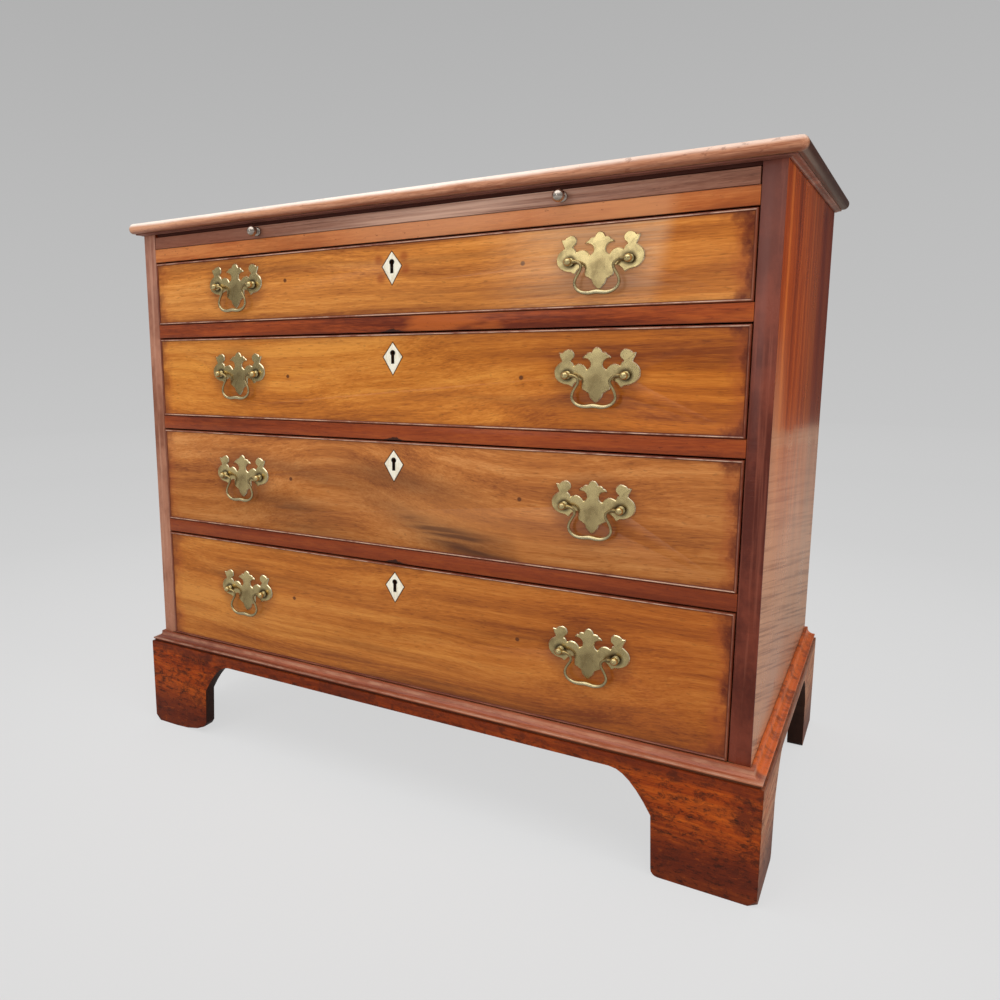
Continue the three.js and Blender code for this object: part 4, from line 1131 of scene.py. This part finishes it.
def fit_knobs():
    dark = metal("knob_brass", *KNOB_BRASS)
    bm = bmesh.new()
    turned(bm, KNOB, 0, 0, KNOB_FACETS)
    smooth_faces(bm, math.radians(34))
    knob = finished(bm, "slide_knob")
    for label, _ in SIDES:
        node = f"slide_knob_{label}"
        low, high = corners(node)
        at = ((low.x + high.x) / 2, FRONT_Y, (low.z + high.z) / 2)
        link(f"{node}_fine", knob, dark, "slide", [node], at, "dark_brass")


# Stage. The floor is a disc that glows a little for the camera and for reflections, so that it
# keeps a faint shadow, and the world carries its tone on past the disc's edge.
FLOOR_RADIUS = 5.0
FLOOR_SIDES = 96
FLOOR_GLOW_NEAR = 0.80
FLOOR_GLOW_FAR = 1.0
FLOOR_TONES = ((0.4, 226), (0.9, 219), (1.7, 210), (3.0, 203), (5.0, 199))
SKY_TONES = ((-0.11, 199), (0.0, 193), (0.16, 186), (0.36, 176))
REFLECTED_NEAR = 0.36
REFLECTED_FAR = 1.0
BEHIND_TONE = srgb(255, 228, 204)


def ladder(g, value, tones):
    """A grey that runs through a table of places and levels."""
    colour = grey(tones[0][1])
    for (low, _), (high, level) in zip(tones, tones[1:]):
        share = g.over(g.minus(value, low), high - low, clamp=True)
        colour = g.mix(share, colour, grey(level))
    return colour


def seen_rays(g):
    """1 for camera rays, and for the glossy and transmission rays that show the same studio."""
    path = g.node("ShaderNodeLightPath").outputs
    mirrored = g.larger(path["Is Glossy Ray"], path["Is Transmission Ray"])
    return g.larger(path["Is Camera Ray"], mirrored), mirrored


def stage():
    """A pale round floor."""
    bm = bmesh.new()
    bmesh.ops.create_circle(bm, cap_ends=True, radius=FLOOR_RADIUS, segments=FLOOR_SIDES)
    g = Paint("studio_paper")
    x, y, _ = g.split(g.place)
    reach = g.math("SQRT", g.plus(g.times(x, x), g.times(y, y)))
    tone = ladder(g, reach, FLOOR_TONES)
    g.surface(Base_Color=tone, Roughness=0.9)
    seen, mirrored = seen_rays(g)
    reflected = g.ramp(reach, 0.7, 1.9, REFLECTED_NEAR, REFLECTED_FAR)
    strength = g.scaled(mirrored, g.minus(reflected, 1.0), 1.0)
    behind = g.times(mirrored, g.ramp(y, 0.3, 0.9))
    warm = g.mix(behind, tone, g.mix(1.0, tone, BEHIND_TONE, "MULTIPLY"))
    glow = g.node("ShaderNodeEmission", {"Color": warm, "Strength": strength}).outputs[0]
    share = g.ramp(reach, 1.0, 3.6, FLOOR_GLOW_NEAR, FLOOR_GLOW_FAR)
    both = {0: g.times(seen, share), 1: g.shader.outputs[0], 2: glow}
    g.feed(g.output.inputs["Surface"], g.node("ShaderNodeMixShader", both).outputs[0])
    floor = link("studio_floor", finished(bm, "studio_floor"), g.material, at=(0, 0, FLOOR_Z))


# Lamps: name, place, what it points at, size, power, and whether reflections show it
LAMPS = (
    ("overhead", (0.0, -0.9, 2.4), (0.0, 0.0, 0.4), (2.6, 1.6), 20, True),
    ("key", (-0.75, -3.0, 1.5), (0.1, -0.2, 0.5), (0.62, 1.3), 12, False),
    ("fill", (2.8, -0.5, 1.2), (0.0, 0.0, 0.4), (1.4, 1.4), 14, False),
)


def lamp(name, at, aim, size, power, mirrored):
    data = bpy.data.lights.new(name, "AREA")
    data.shape = "RECTANGLE"
    data.size, data.size_y = size
    data.energy = power
    made = bpy.data.objects.new(name, data)
    bpy.context.scene.collection.objects.link(made)
    made.location = at
    made.rotation_euler = (Vector(aim) - Vector(at)).to_track_quat("-Z", "Y").to_euler()
    made.visible_glossy = mirrored


# World levels: what the surfaces are lit by, and what reflections see in front, behind and above
AMBIENT = 0.70
ROOM_LEVEL = 0.20
ROOM_FRONT = 0.42
ROOM_BACK = 0.06
ROOM_ABOVE = 0.75

# A window that reflections see in the wall in front: its two sides as x over -y, its level
WINDOW_SIDES = (-0.37, -0.20)
WINDOW_LEVEL = 2.1


def sky():
    """The world: even light, a backdrop for the camera, and a room for reflections."""
    world = bpy.data.worlds.new("studio")
    bpy.context.scene.world = world
    g = Graph(world)
    way = g.split(g.node("ShaderNodeTexCoord").outputs["Generated"])
    seen, mirrored = seen_rays(g)
    from_level = g.size(g.minus(way[2], -0.03))
    front = g.ramp(from_level, 0.03, 0.10, ROOM_LEVEL, ROOM_FRONT)
    ahead = g.larger(g.times(way[1], -1.0), 0.1)
    across = g.over(way[0], ahead)
    middle, half = sum(WINDOW_SIDES) / 2, (WINDOW_SIDES[1] - WINDOW_SIDES[0]) / 2
    window = g.times(g.band(across, middle, half, 0.05), g.ramp(way[2], 0.0, 0.04))
    window = g.times(window, g.ramp(way[1], -0.3, -0.2, 1.0, 0.0))
    bounced = g.node("ShaderNodeLightPath").outputs["Diffuse Depth"]
    window = g.times(window, g.math("LESS_THAN", bounced, 0.5))
    front = g.scaled(window, g.minus(WINDOW_LEVEL, front), front)
    back = g.ramp(way[1], -0.2, 0.7)
    room = g.scaled(back, g.minus(ROOM_BACK, front), front)
    above = g.ramp(way[2], 0.25, 0.65)
    room = g.scaled(above, g.minus(ROOM_ABOVE, room), room)
    below = g.times(g.ramp(way[2], -0.26, -0.085, 1.0, 0.0), back)
    room = g.scaled(below, g.minus(ROOM_FRONT, room), room)
    shown = g.mix(mirrored, ladder(g, way[2], SKY_TONES), g.join(room, room, room))
    colour = g.mix(seen, (AMBIENT, AMBIENT, AMBIENT, 1.0), shown)
    background = g.node("ShaderNodeBackground", {"Color": colour, "Strength": 1.0}).outputs[0]
    g.node("ShaderNodeOutputWorld", {"Surface": background})


# Camera, solved from corners of the chest in the photograph. The carcase's front is its y = 0.
PICTURE = 1000
SENSOR = 36
CLIP_START = 0.02
FOCAL_LENGTH = 866.9
OPTICAL_CENTRE = (306.7, 481.8)
CAMERA_PLACE = (0.5454, -0.9729, 0.6193)
CAMERA_RIGHT = (0.81947, 0.57253, -0.02627)
CAMERA_FORWARD = (-0.56834, 0.80586, -0.16605)


def camera():
    data = bpy.data.cameras.new("camera")
    data.sensor_width = SENSOR
    data.lens = SENSOR * FOCAL_LENGTH / PICTURE
    data.shift_x = (PICTURE / 2 - OPTICAL_CENTRE[0]) / PICTURE
    data.shift_y = (OPTICAL_CENTRE[1] - PICTURE / 2) / PICTURE
    data.clip_start = CLIP_START
    made = bpy.data.objects.new("camera", data)
    bpy.context.scene.collection.objects.link(made)
    right = Vector(CAMERA_RIGHT).normalized()
    forward = Vector(CAMERA_FORWARD).normalized()
    up = right.cross(forward)
    made.matrix_world = Matrix((right, up, -forward)).transposed().to_4x4()
    made.location = Vector(CAMERA_PLACE) + Vector((0, FRONT_Y, 0))
    bpy.context.scene.camera = made


camera()
dress_carcase()
dress_drawers()
fit_handles()
fit_knobs()
stage()
sky()
for settings in LAMPS:
    lamp(*settings)
bpy.context.scene.view_settings.view_transform = "Standard"
